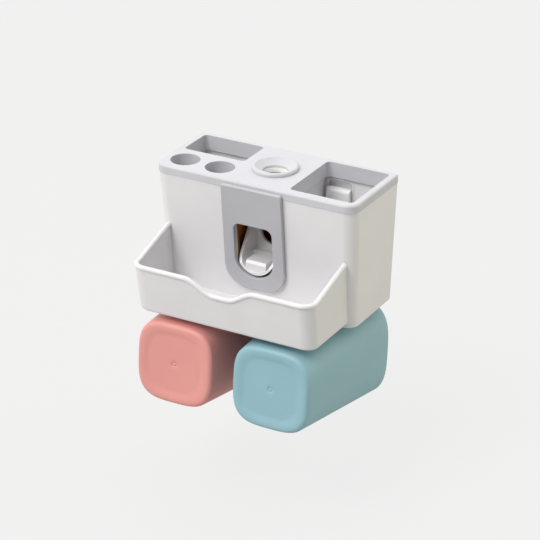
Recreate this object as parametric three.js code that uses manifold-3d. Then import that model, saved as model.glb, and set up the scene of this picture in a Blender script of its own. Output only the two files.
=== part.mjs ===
// Wall-mounted toothbrush holder: a white box with bins, toothbrush holes, a toothpaste dispenser
// and a front tray, hung on a stuck-on wall plate, with two cups held lying under it.
// Millimetres. +Z is up, +X is right for someone facing the holder, +Y points at the wall.
// The origin is the centre of the adhesive pad's back face, which lies on the wall.
import * as THREE from "three";
import { mergeVertices } from "three/addons/utils/BufferGeometryUtils.js";
import Module from "manifold-3d";

const wasm = await Module();
wasm.setup();

// Fits shared by every piece
const GAP = 0.3; // between pieces that sit against each other
const PAST = 2; // how far a cutting solid runs past the face that it cuts
const ROUND = 36; // sides of a large round piece
const SMALL_ROUND = 16; // sides of a screw, pin or duct

// Wall plate and adhesive pad
const PLATE_WIDTH = 100;
const PLATE_HEIGHT = 48;
const PLATE_THICKNESS = 2.6;
const PLATE_CORNER = 6;
const PAD_THICKNESS = 1;
const PAD_MARGIN = 2; // the pad stops this far inside the plate's edge
const HOOK_SPACING = 69.8; // between the two hooks' middles
const HOOK_WIDTH = 18.6;
const HOOK_THICKNESS = 4.5;
const HOOK_NECK = 5;
const HOOK_NECK_TOP = 1.5; // height of the seat above the pad's centre
const HOOK_REACH = 17.5; // tip above the seat
const HOOK_TIP_ROUND = 3;

// Main body
const BODY_HEIGHT = 91.9; // below the cover
const BODY_INSET = 0.3; // the body stands this far inside the cover's band
const BODY_WALL = 2.4;
const BODY_FLOOR = 2.4;
const SIDE_DRAFT = 3.8; // each side leans in by this much at the foot
const FRONT_DRAFT = 9.5; // the front leans back by this much at the foot
const FRONT_CORNER = 9.5;
const REAR_CORNER = 2.5;
const PARTITION = 2;
const BAR_HEIGHT = 10; // bar of the rear wall that hangs in the hooks
const HOOK_WINDOW_ABOVE = 12.2; // window above the bar
const HOOK_WINDOW_BELOW = 24.6; // window below the bar, where the hook enters
const HOOK_WINDOW_SIDE = 0.6; // room beside the hook
const WINDOW_FRAME = 1; // wall of the raised frame round a hook window
const WINDOW_FRAME_PROUD = 0.6;

// Top cover
const COVER_WIDTH = 160;
const COVER_DEPTH = 69;
const COVER_ABOVE_PAD = 38; // cover's top above the pad's centre
const COVER_BAND = 6.4;
const COVER_PLATE = 2.2;
const COVER_WALL = 2.2;
const COVER_EDGE = 1.6; // rounding of the top edge
const CENTRE_STRIP = 51.6; // between the two bins' openings
const SIDE_RIM = 4.8;
const REAR_RIM = 4.6;
const FRONT_RIM = 6.5;
const OPENING_CORNER = 3;
const SLEEVE_WALL = 1.5;
const SLEEVE_DEPTH = 11.7; // below the cover's top
const SLEEVE_CLEAR = 0.4; // between a sleeve and the partition beside it
const BRUSH_TUBE_WALL = 1.5;
const BRUSH_FROM_SIDE = 5.3; // toothbrush hole's edge to the cover's side
const BRUSH_FROM_FRONT = 6; // to the cover's front
const BRUSH_FROM_BIN = 6.4; // to the left bin's opening
const BRUSH_FROM_MIDDLE = 24.7; // to the cover's middle
const BRUSH_WEB = 6.8; // between the two holes

// Toothpaste inlet
const INLET_FROM_FRONT = 33.4;
const FUNNEL_WIDTH = 33.8;
const FUNNEL_HEIGHT = 3;
const FUNNEL_HOLE = 18.4;
const FUNNEL_DEPTH = 1.4; // foot of the cone below the cover's top
const FUNNEL_LEDGE = 1.2; // thickness under the cone's foot
const FUNNEL_SLEEVE = 24.4;
const FUNNEL_SLEEVE_WALL = 1.3;
const FUNNEL_LENGTH = 7; // sleeve below the cover's top
const SEAL_HOLE = 17.6;
const SEAL_TAPER = 0.7; // the hole widens by this much at the seal's foot
const SEAL_HEIGHT = 3.6;

// Pump head under the inlet
const HEAD_BOSS = 22;
const HEAD_BORE = 12.4;
const HEAD_VALVE_SEAT = 10;
const HEAD_FLANGE = 2.5;
const HEAD_FLANGE_DROP = 15; // flange's top below the cover's top
const HEAD_SPIGOT = 14;
const HEAD_SPIGOT_LENGTH = 3;
const DUCT_WIDTH = 10;
const DUCT_HEIGHT = 6;
const DUCT_BORE = 5;
const VALVE_THICKNESS = 1;
const VALVE_DEPTH = 1.6; // valve's top below the boss's top
const NOZZLE_AHEAD = 19.4; // nozzle's axis in front of the inlet's
const NOZZLE_SPIGOT = 8;
const NOZZLE_WALL = 1.4;
const NOZZLE_LENGTH = 10.5;
const NOZZLE_TIP = 7;
const NOZZLE_MOUTH = 3.2;
const BELLOWS_WIDTH = 18;
const BELLOWS_WALL = 1.4;
const BELLOWS_FOLD = 1.7; // depth of a fold
const BELLOWS_LENGTH = 8.4;
const BELLOWS_COLLAR = 2;

// Dispenser panel and the window for the brush
const PANEL_WIDTH = 48;
const PANEL_HEIGHT = 80.3;
const PANEL_RISE = 3.6; // panel's top above the body's rim
const PANEL_THICKNESS = 3;
const PANEL_EDGE = 1.1; // rounding of the front edges
const PANEL_TOP_CORNER = 1.8;
const PANEL_FOOT_CORNER = 17;
const WINDOW_WIDTH = 30.6;
const WINDOW_DROP = 29.1; // window's top below the panel's top
const WINDOW_SILL = 9.4; // window's foot above the panel's foot
const WINDOW_CORNER = 5;
const APERTURE_MARGIN = 0.5; // body's aperture past the window's sides
const TAB_ROOM = 2.6; // body's aperture past the window's head and foot
const TAB_WIDTH = 16;
const TAB_THICKNESS = 1.4;
const TAB_LENGTH = 2.8;

// Squeezer housing, lever and pin
const CHEEK = 2;
const HOUSING_DEPTH = 40.3; // rear wall's back behind the inner front wall, at the lever pin's height
const HOUSING_FOOT = 5.4; // housing's foot below its low screws
const FLANGE_WIDTH = 4.8;
const FLANGE_THICKNESS = 2.2;
const PIN_DIAMETER = 3.2;
const PIN_CLEAR = 0.15;
const PIN_DROP = 31; // pin below the cover's top
const PIN_BEHIND_INLET = -8.4; // pin's place behind the inlet's axis
const LEVER_WIDTH = 29.6;
const LEVER_WALL = 2;
const LEVER_ABOVE_SILL = 1.8; // lever's foot above the window's foot
const LEVER_REACH = 20.4; // lip in front of the pin
const LEVER_LIP = 7.1; // upright part of the lip
const LEVER_BACK = 2.4; // back wall's thickness
const LEVER_BACK_BEHIND = 10; // back wall's top behind the pin
const LEVER_BACK_LEAN = 6; // back wall leans forward by this much at its foot
const LEVER_EAR_FRONT = 2; // ear's front edge before the pin
const LEVER_EAR_DROP = 8; // the ear's front edge runs straight down by this much
const LEVER_HUB = 6.4;
const LEVER_ARM_WIDTH = 16;
const LEVER_ARM_THICKNESS = 2.6;
const LEVER_ARM_PAST = 6; // arm's end past the inlet's axis
const LEVER_NOTCH = 19;
const LEVER_NOTCH_HEIGHT = 14.6; // foot of the notch above the lever's foot
const LEVER_LEDGE_HEIGHT = 10.2;
const LEVER_LEDGE_DEPTH = 4;
const LEVER_BLOCK_WIDTH = 16;
const LEVER_BLOCK_DEPTH = 21.3;
const LEVER_BLOCK_HEIGHT = 10;

// Screws
const SCREW_SHANK = 2.6;
const SCREW_HEAD = 5.2;
const SCREW_HEAD_HEIGHT = 1.3;
const SCREW_CLEAR = 0.2;
const HOUSING_SCREW_HIGH = 17; // below the body's rim, along the front
const HOUSING_SCREW_LOW = 11.7; // above the panel's foot

// Front tray
const TRAY_FROM_SIDE = 8.2; // tray's rim inside the cover's side
const TRAY_FRONT = 47.4; // front rim ahead of the cover's front
const TRAY_HEIGHT = 36.3; // front rim above the tray's underside
const TRAY_WALL = 2;
const TRAY_FLOOR = 1.8;
const TRAY_SIDE_LEAN = 0.6;
const TRAY_FRONT_LEAN = 6.3;
const TRAY_CORNER = 10;
const TRAY_EDGE = 2.5; // rounding of the outer bottom edge
const TRAY_SIDE_RISE = 15; // side rim at the body above the front rim
const TRAY_DIP = 9.9;
const TRAY_DIP_WIDTH = 57;
const TRAY_DIP_LEVEL = 10; // level bottom of the dip
const TRAY_BEAD = 3.8;
const TRAY_LUG_WIDTH = 14;
const TRAY_LUG_SPACING = 90;
const TRAY_LUG_HEIGHT = 1.4;
const TRAY_LUG_FOOT = 4; // length of the lug's foot in the tray's floor

// Cups and their hangers
const CUP_FROM_SIDE = 41; // cup's middle inside the cover's side
const CUP_APART = 1.6; // between the two cups' mouths
const CUP_SPREAD = 7.9; // each wall leans out by this much at the mouth
const CUP_LENGTH = 109;
const CUP_SQUARENESS = 3.4; // power of the outline: 2 is a circle, and a square is far higher
const CUP_SIDES = 48;
const CUP_WALL = 2;
const CUP_FLOOR = 2.6;
const CUP_EDGE = 3; // rounding of the base's edge
const CUP_RECESS = 1; // hollow of the base
const CUP_RECESS_INSET = 7;
const HANGER_WIDTH = 34;
const HANGER_FLANGE = 2.3;
const HANGER_FLANGE_LENGTH = 48;
const HANGER_WEB = 2.5;
const HANGER_TONGUE = 2.5;
const HANGER_TONGUE_WIDTH = 16;
const HANGER_TONGUE_LENGTH = 37;
const HANGER_SCREW_SPACING = 28;

// Places worked out from the sizes
const REAR_Y = -(PAD_THICKNESS + PLATE_THICKNESS + GAP);
const FRONT_Y = REAR_Y - COVER_DEPTH;
const TOP_Z = COVER_ABOVE_PAD;
const RIM_Z = TOP_Z - COVER_BAND;
const BASE_Z = RIM_Z - BODY_HEIGHT;
const FLOOR_Z = BASE_Z + BODY_FLOOR;
// The tray's underside is level with the lugs that lie on the body's floor
const TRAY_FOOT_Z = FLOOR_Z + GAP;
const FAR = 2 * (COVER_WIDTH + COVER_DEPTH + BODY_HEIGHT); // reach of a solid that only cuts
const FRONT_TILT = Math.atan2(FRONT_DRAFT, BODY_HEIGHT);
const BRUSH_HOLE = (COVER_WIDTH / 2 - BRUSH_FROM_SIDE - BRUSH_WEB - BRUSH_FROM_MIDDLE) / 2; // diameter
const SLEEVE_NEAR = Math.min(CENTRE_STRIP / 2 - SLEEVE_WALL, BRUSH_FROM_MIDDLE - BRUSH_TUBE_WALL);
const PARTITION_X = SLEEVE_NEAR - SLEEVE_CLEAR; // outer face
const WELL_X = PARTITION_X - PARTITION; // half width of the dispenser's well
const LEFT_BIN_FRONT = FRONT_Y + BRUSH_FROM_FRONT + BRUSH_HOLE + BRUSH_FROM_BIN;
const BRUSH_Y = FRONT_Y + BRUSH_FROM_FRONT + BRUSH_HOLE / 2;
const INLET_Y = FRONT_Y + INLET_FROM_FRONT;
const PIN_Y = INLET_Y + PIN_BEHIND_INLET;
const PIN_Z = TOP_Z - PIN_DROP;
const PANEL_FOOT = PANEL_RISE - PANEL_HEIGHT; // along the front, from the body's rim
const WINDOW_HEAD = PANEL_RISE - WINDOW_DROP;
const WINDOW_FOOT = PANEL_FOOT + WINDOW_SILL;
const LEVER_FOOT_Z = RIM_Z + WINDOW_FOOT * Math.cos(FRONT_TILT) + LEVER_ABOVE_SILL;
const TRAY_WIDTH = COVER_WIDTH - 2 * TRAY_FROM_SIDE; // at the rim
const CUP_PITCH = COVER_WIDTH - 2 * CUP_FROM_SIDE;
const CUP_MOUTH = CUP_PITCH - CUP_APART;
const CUP_BASE = CUP_MOUTH - 2 * CUP_SPREAD;

// Materials
const plastic = (color, roughness) => new THREE.MeshStandardMaterial({ color, roughness, metalness: 0 });
const steel = () => new THREE.MeshStandardMaterial({ color: 0xb8babd, roughness: 0.35, metalness: 1 });
const WHITE = 0xe9e7e3;
const GLOSS_WHITE = 0xf1eff0;
const GREY = 0xbcbcc1;
const PINK = 0xe29a93;
const BLUE = 0x93bcc6;
const SILICONE = 0xe6e3dc;
const FOAM = 0xd8d4c6;
const BROWN = 0x6e4a2c;

const part = new THREE.Group();

// Solids from three.js geometry, joined and cut as manifolds
function solid(geometry) {
  const bare = geometry.index ? geometry.toNonIndexed() : geometry;
  bare.deleteAttribute("normal");
  bare.deleteAttribute("uv");
  const merged = mergeVertices(bare, 1e-4);
  const mesh = new wasm.Mesh({
    numProp: 3,
    vertProperties: merged.attributes.position.array,
    triVerts: new Uint32Array(merged.index.array),
  });
  return new wasm.Manifold(mesh);
}

function joined(first, ...others) {
  return others.reduce((whole, other) => whole.add(other), first);
}

function cut(whole, ...tools) {
  return tools.reduce((left, tool) => left.subtract(tool), whole);
}

function addPiece(name, made, material, group = part) {
  const mesh = made.getMesh();
  const geometry = new THREE.BufferGeometry();
  geometry.setAttribute("position", new THREE.BufferAttribute(mesh.vertProperties, 3));
  geometry.setIndex(new THREE.BufferAttribute(mesh.triVerts, 1));
  const piece = new THREE.Mesh(geometry, material);
  piece.name = name;
  group.add(piece);
  return piece;
}

function box(x0, x1, y0, y1, z0, z1) {
  const geometry = new THREE.BoxGeometry(x1 - x0, y1 - y0, z1 - z0);
  return solid(geometry.translate((x0 + x1) / 2, (y0 + y1) / 2, (z0 + z1) / 2));
}

// A rectangle with a radius for its low-y corners and one for its high-y corners
function roundedRectangle(x0, x1, y0, y1, lowRadius, highRadius = lowRadius) {
  const shape = new THREE.Shape();
  shape.absarc(x0 + lowRadius, y0 + lowRadius, lowRadius, Math.PI, 1.5 * Math.PI);
  shape.absarc(x1 - lowRadius, y0 + lowRadius, lowRadius, 1.5 * Math.PI, 2 * Math.PI);
  shape.absarc(x1 - highRadius, y1 - highRadius, highRadius, 0, 0.5 * Math.PI);
  shape.absarc(x0 + highRadius, y1 - highRadius, highRadius, 0.5 * Math.PI, Math.PI);
  shape.closePath();
  return shape;
}

function polygon(points) {
  return new THREE.Shape(points.map(([a, b]) => new THREE.Vector2(a, b)));
}

// The three directions in which an outline is drawn out
function extrudedZ(shape, low, high, arcSteps = 3) {
  const options = { depth: high - low, bevelEnabled: false, curveSegments: arcSteps };
  return new THREE.ExtrudeGeometry(shape, options).translate(0, 0, low);
}

// The same with both ends' edges rounded
function softBlock(shape, low, high, edge, edgeSteps, arcSteps) {
  const options = {
    depth: high - low - 2 * edge,
    bevelThickness: edge,
    bevelSize: edge,
    bevelOffset: -edge,
    bevelSegments: edgeSteps,
    curveSegments: arcSteps,
  };
  return new THREE.ExtrudeGeometry(shape, options).translate(0, 0, low + edge);
}

function prismZ(shape, low, high, arcSteps) {
  return solid(extrudedZ(shape, low, high, arcSteps));
}

function prismY(shape, low, high, arcSteps) {
  const geometry = extrudedZ(shape, 0, high - low, arcSteps).rotateX(Math.PI / 2);
  return solid(geometry.translate(0, high, 0));
}

const YZ_TO_WORLD = new THREE.Matrix4().makeBasis(
  new THREE.Vector3(0, 1, 0),
  new THREE.Vector3(0, 0, 1),
  new THREE.Vector3(1, 0, 0),
);

function prismX(shape, low, high, arcSteps) {
  return solid(extrudedZ(shape, low, high, arcSteps).applyMatrix4(YZ_TO_WORLD));
}

function rodZ(radius, x, y, low, high, sides = SMALL_ROUND) {
  const geometry = new THREE.CylinderGeometry(radius, radius, high - low, sides).rotateX(Math.PI / 2);
  return solid(geometry.translate(x, y, (low + high) / 2));
}

function rodY(radius, x, z, low, high, sides = SMALL_ROUND) {
  const geometry = new THREE.CylinderGeometry(radius, radius, high - low, sides);
  return solid(geometry.translate(x, (low + high) / 2, z));
}

function rodX(radius, y, z, low, high, sides = SMALL_ROUND) {
  const geometry = new THREE.CylinderGeometry(radius, radius, high - low, sides).rotateZ(Math.PI / 2);
  return solid(geometry.translate((low + high) / 2, y, z));
}

// A turned piece: [radius, height] points, up the outside and down the inside, about an upright axis
function turned(profile, x, y, sides = ROUND) {
  const points = profile.map(([radius, height]) => new THREE.Vector2(radius, height));
  return solid(new THREE.LatheGeometry(points, sides).rotateX(Math.PI / 2).translate(x, y, 0));
}

function moved(geometry, rule) {
  const position = geometry.getAttribute("position");
  const point = new THREE.Vector3();
  for (let i = 0; i < position.count; i++) {
    rule(point.fromBufferAttribute(position, i));
    position.setXYZ(i, point.x, point.y, point.z);
  }
  return geometry;
}

// The body's leaning outline, a wall's thickness or a gap inside its outer face
function bodyPrism(inset, low, high) {
  const halfWidth = COVER_WIDTH / 2 - BODY_INSET - inset;
  const rear = REAR_Y - inset;
  const front = FRONT_Y + BODY_INSET + inset;
  const depth = rear - front;
  const frontRadius = Math.max(FRONT_CORNER - inset, GAP);
  const rearRadius = Math.max(REAR_CORNER - inset, GAP);
  const outline = roundedRectangle(-halfWidth, halfWidth, front, rear, frontRadius, rearRadius);
  const geometry = moved(extrudedZ(outline, low, high, 4), (p) => {
    const drop = (RIM_Z - p.z) / BODY_HEIGHT;
    p.x *= 1 - (SIDE_DRAFT * drop) / halfWidth;
    p.y = rear + (p.y - rear) * (1 - (FRONT_DRAFT * drop) / depth);
  });
  return solid(geometry);
}

// Depth of the body's leaning front face at a height
function frontFaceY(z) {
  return FRONT_Y + BODY_INSET + (FRONT_DRAFT * (RIM_Z - z)) / BODY_HEIGHT;
}

// Frame of the front face: x across, y up the slope from the body's rim, z out of the face
const front = new THREE.Group();
front.position.set(0, FRONT_Y + BODY_INSET, RIM_Z);
front.rotation.x = Math.PI / 2 + FRONT_TILT;
front.updateMatrix();
part.add(front);

// The same solid seen from the part's own frame
function fromFront(made) {
  return made.transform(front.matrix.elements);
}

// Wall plate and pad
function makeWallPlate() {
  const halfWidth = PLATE_WIDTH / 2;
  const halfHeight = PLATE_HEIGHT / 2;
  const back = -PAD_THICKNESS;
  const face = back - PLATE_THICKNESS;
  const outline = roundedRectangle(-halfWidth, halfWidth, -halfHeight, halfHeight, PLATE_CORNER);
  const barFront = REAR_Y - BODY_WALL - GAP;
  const tipFront = barFront - HOOK_THICKNESS;
  const seat = HOOK_NECK_TOP;
  const tip = seat + HOOK_REACH;
  const hook = new THREE.Shape();
  hook.moveTo(back, seat - HOOK_NECK);
  hook.lineTo(tipFront, seat - HOOK_NECK);
  const round = HOOK_TIP_ROUND;
  hook.lineTo(tipFront, tip - round);
  hook.absarc(tipFront + round, tip - round, round, Math.PI, Math.PI / 2, true);
  hook.lineTo(barFront, tip);
  hook.lineTo(barFront, seat);
  hook.lineTo(back, seat);
  hook.closePath();
  const hooks = [-1, 1].map((side) => {
    const middle = (side * HOOK_SPACING) / 2;
    return prismX(hook, middle - HOOK_WIDTH / 2, middle + HOOK_WIDTH / 2);
  });
  addPiece("wall_plate", joined(prismY(outline, face, back), ...hooks), plastic(WHITE, 0.45));
  const padWidth = halfWidth - PAD_MARGIN;
  const padHeight = halfHeight - PAD_MARGIN;
  const padCorner = Math.max(PLATE_CORNER - PAD_MARGIN, GAP);
  const padOutline = roundedRectangle(-padWidth, padWidth, -padHeight, padHeight, padCorner);
  addPiece("adhesive_pad", prismY(padOutline, back, 0), plastic(FOAM, 0.9));
}

// Main body
function hookWindows() {
  const barFoot = HOOK_NECK_TOP + GAP;
  const barTop = barFoot + BAR_HEIGHT;
  const halfWidth = HOOK_WIDTH / 2 + HOOK_WINDOW_SIDE;
  const rear = REAR_Y + PAST;
  const inner = REAR_Y - BODY_WALL;
  const frames = [];
  const windows = [];
  for (const side of [-1, 1]) {
    const middle = (side * HOOK_SPACING) / 2;
    const x0 = middle - halfWidth;
    const x1 = middle + halfWidth;
    const head = barTop + HOOK_WINDOW_ABOVE;
    const foot = barFoot - HOOK_WINDOW_BELOW;
    const radius = HOOK_TIP_ROUND;
    const upper = roundedRectangle(x0, x1, barTop, head, GAP, radius);
    const lower = roundedRectangle(x0, x1, foot, barFoot, radius, GAP);
    const clear = roundedRectangle(x0, x1, foot, head, radius, radius);
    windows.push(prismY(upper, inner - PAST, rear), prismY(lower, inner - PAST, rear));
    const w = WINDOW_FRAME;
    const raised = roundedRectangle(x0 - w, x1 + w, foot - w, head + w, radius + w, radius + w);
    const deep = inner - WINDOW_FRAME_PROUD;
    frames.push(cut(prismY(raised, deep, inner + GAP), prismY(clear, deep - PAST, inner)));
  }
  return { frames, windows };
}

// Places of the housing's screws on the front face
const LOW_SCREW = PANEL_FOOT + HOUSING_SCREW_LOW;

function housingScrewPlaces() {
  const x = WELL_X - GAP - FLANGE_WIDTH / 2;
  return [-x, x].flatMap((sx) => [-HOUSING_SCREW_HIGH, LOW_SCREW].map((sy) => [sx, sy]));
}

function hangerScrewPlaces(side) {
  const flangeRear = REAR_Y + HANGER_WEB / 2;
  const middle = flangeRear - HANGER_FLANGE_LENGTH / 2;
  const x = (side * CUP_PITCH) / 2;
  return [-1, 1].map((end) => [x, middle + (end * HANGER_SCREW_SPACING) / 2]);
}

function makeMainBody() {
  const shell = bodyPrism(0, BASE_Z, RIM_Z);
  const hollow = bodyPrism(BODY_WALL, FLOOR_Z, RIM_Z + PAST);
  const high = RIM_Z + 2 * PAST;
  const low = FLOOR_Z - PAST;
  const wellY = LEFT_BIN_FRONT - SLEEVE_WALL - SLEEVE_CLEAR;
  const rooms = [
    box(-WELL_X, WELL_X, -FAR, FAR, low, high),
    box(PARTITION_X, FAR, -FAR, FAR, low, high),
    box(-FAR, -PARTITION_X, wellY, FAR, low, high),
    box(-FAR, -PARTITION_X, -FAR, wellY - PARTITION, low, high),
  ];
  const { frames, windows } = hookWindows();
  const apertureX = WINDOW_WIDTH / 2 + APERTURE_MARGIN;
  const aperture = polygon([
    [-apertureX, WINDOW_FOOT - TAB_ROOM],
    [apertureX, WINDOW_FOOT - TAB_ROOM],
    [apertureX, WINDOW_HEAD + TAB_ROOM],
    [-apertureX, WINDOW_HEAD + TAB_ROOM],
  ]);
  const holeRadius = SCREW_SHANK / 2 + SCREW_CLEAR;
  const through = BODY_WALL + PAST;
  const screwHoles = housingScrewPlaces().map(([x, y]) => rodZ(holeRadius, x, y, -through, PAST));
  const hangerHoles = [-1, 1].flatMap((side) =>
    hangerScrewPlaces(side).map(([x, y]) => rodZ(holeRadius, x, y, BASE_Z - PAST, FLOOR_Z + PAST)),
  );
  const lugSlots = [-1, 1].map((side) => {
    const middle = (side * TRAY_LUG_SPACING) / 2;
    const half = TRAY_LUG_WIDTH / 2 + GAP;
    const face = frontFaceY(FLOOR_Z);
    const inside = face + BODY_WALL + PAST;
    return box(middle - half, middle + half, face - PAST, inside, FLOOR_Z, lugTop() + GAP);
  });
  const made = cut(
    joined(cut(shell, ...rooms.map((room) => room.intersect(hollow))), ...frames),
    ...windows,
    fromFront(prismZ(aperture, -through, PAST)),
    ...screwHoles.map(fromFront),
    ...hangerHoles,
    ...lugSlots,
  );
  addPiece("main_body", made, plastic(WHITE, 0.4));
}

// Top cover
function openingShapes(grow) {
  const outerX = COVER_WIDTH / 2 - SIDE_RIM + grow;
  const innerX = CENTRE_STRIP / 2 - grow;
  const rear = REAR_Y - REAR_RIM + grow;
  const radius = OPENING_CORNER + grow;
  const rightFront = FRONT_Y + FRONT_RIM - grow;
  return [
    roundedRectangle(-outerX, -innerX, LEFT_BIN_FRONT - grow, rear, radius),
    roundedRectangle(innerX, outerX, rightFront, rear, radius),
  ];
}

function brushPlaces() {
  const first = -COVER_WIDTH / 2 + BRUSH_FROM_SIDE + BRUSH_HOLE / 2;
  return [first, first + BRUSH_HOLE + BRUSH_WEB];
}

function makeTopCover() {
  const half = COVER_WIDTH / 2;
  const outline = roundedRectangle(-half, half, FRONT_Y, REAR_Y, FRONT_CORNER, REAR_CORNER);
  const block = solid(softBlock(outline, RIM_Z - COVER_EDGE, TOP_Z, COVER_EDGE, 3, 4));
  const inside = roundedRectangle(
    -half + COVER_WALL,
    half - COVER_WALL,
    FRONT_Y + COVER_WALL,
    REAR_Y - COVER_WALL,
    Math.max(FRONT_CORNER - COVER_WALL, GAP),
    Math.max(REAR_CORNER - COVER_WALL, GAP),
  );
  const under = TOP_Z - COVER_PLATE;
  const low = TOP_Z - SLEEVE_DEPTH;
  const shell = cut(
    block,
    box(-FAR, FAR, -FAR, FAR, RIM_Z - 2 * COVER_EDGE, RIM_Z),
    prismZ(inside, RIM_Z - PAST, under),
  );
  const rim = under + COVER_PLATE / 2;
  const sleeves = openingShapes(SLEEVE_WALL).map((shape) => prismZ(shape, low, rim));
  const holes = openingShapes(0).map((shape) => prismZ(shape, low - PAST, TOP_Z + PAST));
  const holeRadius = BRUSH_HOLE / 2;
  const tubes = brushPlaces().map((x) => rodZ(holeRadius + BRUSH_TUBE_WALL, x, BRUSH_Y, low, rim, ROUND));
  const bores = brushPlaces().map((x) => rodZ(holeRadius, x, BRUSH_Y, low - PAST, TOP_Z + PAST, ROUND));
  const inlet = rodZ(FUNNEL_SLEEVE / 2 + GAP, 0, INLET_Y, RIM_Z - PAST, TOP_Z + PAST, ROUND);
  const made = cut(joined(shell, ...sleeves, ...tubes), ...holes, ...bores, inlet);
  addPiece("top_cover", made, plastic(GREY, 0.42));
}

// Toothpaste inlet: funnel on the cover, with a soft seal in its sleeve
function makeInlet() {
  const outer = FUNNEL_WIDTH / 2;
  const hole = FUNNEL_HOLE / 2;
  const sleeve = FUNNEL_SLEEVE / 2;
  const bore = sleeve - FUNNEL_SLEEVE_WALL;
  const crest = TOP_Z + FUNNEL_HEIGHT;
  const round = FUNNEL_HEIGHT / 3;
  const neck = TOP_Z - FUNNEL_DEPTH;
  const ledge = neck - FUNNEL_LEDGE;
  const foot = TOP_Z - FUNNEL_LENGTH;
  const profile = [
    [bore, foot],
    [sleeve, foot],
    [sleeve, TOP_Z],
    [outer, TOP_Z],
    [outer, crest - round],
    [outer - 0.3 * round, crest - 0.3 * round],
    [outer - round, crest],
    [outer - 2 * round, crest - 0.3 * round],
    [hole, neck],
    [hole, ledge],
    [bore, ledge],
    [bore, foot],
  ];
  addPiece("inlet_funnel", turned(profile, 0, INLET_Y), plastic(GREY, 0.4));
  const lip = SEAL_HOLE / 2;
  const rim = bore - GAP;
  const sealTop = ledge - GAP;
  const sealFoot = sealTop - SEAL_HEIGHT;
  const seal = [
    [lip + SEAL_TAPER, sealFoot],
    [rim, sealFoot],
    [rim, sealTop],
    [lip, sealTop],
    [lip, sealTop - SEAL_HEIGHT / 3],
    [lip + SEAL_TAPER, sealFoot],
  ];
  addPiece("inlet_seal", turned(seal, 0, INLET_Y), plastic(SILICONE, 0.55));
}

// Pump head, its valve, bellows and nozzle
function headHeights() {
  const top = TOP_Z - FUNNEL_LENGTH - GAP;
  const flangeTop = TOP_Z - HEAD_FLANGE_DROP;
  const flangeFoot = flangeTop - HEAD_FLANGE;
  return { top, flangeTop, flangeFoot, spigotFoot: flangeFoot - HEAD_SPIGOT_LENGTH };
}

function housingSpan() {
  const inner = frontFaceY(PIN_Z) + BODY_WALL;
  return { back: inner + HOUSING_DEPTH, x: WELL_X - GAP };
}

function makePumpHead() {
  const { top, flangeTop, flangeFoot, spigotFoot } = headHeights();
  const { back, x } = housingSpan();
  const nozzleY = INLET_Y - NOZZLE_AHEAD;
  const frontEdge = frontFaceY(TOP_Z - HEAD_FLANGE_DROP) + BODY_WALL + 2 * GAP;
  const ductZ = flangeTop + DUCT_HEIGHT / 2;
  const ductFront = nozzleY - NOZZLE_SPIGOT / 2;
  const valveTop = top - VALVE_DEPTH;
  const seat = valveTop - VALVE_THICKNESS;
  const body = joined(
    box(-x, x, frontEdge, back, flangeFoot, flangeTop),
    rodZ(HEAD_BOSS / 2, 0, INLET_Y, flangeFoot, top, ROUND),
    rodZ(HEAD_SPIGOT / 2, 0, INLET_Y, spigotFoot, flangeTop, ROUND),
    box(-DUCT_WIDTH / 2, DUCT_WIDTH / 2, ductFront, INLET_Y, flangeFoot, flangeTop + DUCT_HEIGHT),
    rodZ(NOZZLE_SPIGOT / 2, 0, nozzleY, spigotFoot, flangeTop),
  );
  const made = cut(
    body,
    rodZ(HEAD_BORE / 2, 0, INLET_Y, seat, top + PAST),
    rodZ(HEAD_VALVE_SEAT / 2, 0, INLET_Y, spigotFoot - PAST, top),
    rodY(DUCT_BORE / 2, 0, ductZ, nozzleY, INLET_Y),
    rodZ(DUCT_BORE / 2, 0, nozzleY, spigotFoot - PAST, ductZ),
  );
  addPiece("pump_head", made, plastic(WHITE, 0.45));
  const valve = rodZ(HEAD_BORE / 2 - GAP, 0, INLET_Y, seat, valveTop);
  addPiece("inlet_valve", valve, plastic(SILICONE, 0.55));
}

function makeBellows() {
  const { flangeFoot } = headHeights();
  const top = flangeFoot - GAP;
  const foot = top - BELLOWS_LENGTH;
  const wide = BELLOWS_WIDTH / 2;
  const narrow = wide - BELLOWS_FOLD;
  const collar = HEAD_SPIGOT / 2 + GAP;
  const neck = top - BELLOWS_COLLAR;
  const fold = (neck - foot) / 4;
  const wall = BELLOWS_WALL;
  const outside = [
    [0, foot],
    [narrow, foot],
    [wide, foot + fold],
    [narrow, foot + 2 * fold],
    [wide, foot + 3 * fold],
    [collar + wall, neck],
    [collar + wall, top],
  ];
  const inside = [
    [collar, top],
    [collar, neck],
    [wide - wall, foot + 3 * fold],
    [narrow - wall, foot + 2 * fold],
    [wide - wall, foot + fold + wall / 2],
    [narrow - wall, foot + wall],
    [0, foot + wall],
  ];
  addPiece("pump_bellows", turned([...outside, ...inside], 0, INLET_Y), plastic(SILICONE, 0.55));
}

function makeNozzle() {
  const { flangeFoot } = headHeights();
  const top = flangeFoot - GAP;
  const foot = top - NOZZLE_LENGTH;
  const socket = NOZZLE_SPIGOT / 2 + GAP / 2;
  const shoulder = top - HEAD_SPIGOT_LENGTH - GAP;
  const outer = socket + NOZZLE_WALL;
  const mouth = NOZZLE_MOUTH / 2;
  const profile = [
    [mouth, foot],
    [NOZZLE_TIP / 2, foot],
    [outer, shoulder],
    [outer, top],
    [socket, top],
    [socket, shoulder],
    [mouth, shoulder - NOZZLE_WALL],
    [mouth, foot],
  ];
  const nozzle = turned(profile, 0, INLET_Y - NOZZLE_AHEAD, SMALL_ROUND);
  addPiece("paste_nozzle", nozzle, plastic(SILICONE, 0.55));
}

// Squeezer housing, its screws and the lever's pin
function leverArmHeight() {
  const { flangeFoot } = headHeights();
  return flangeFoot - 2 * GAP - BELLOWS_LENGTH;
}

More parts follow.
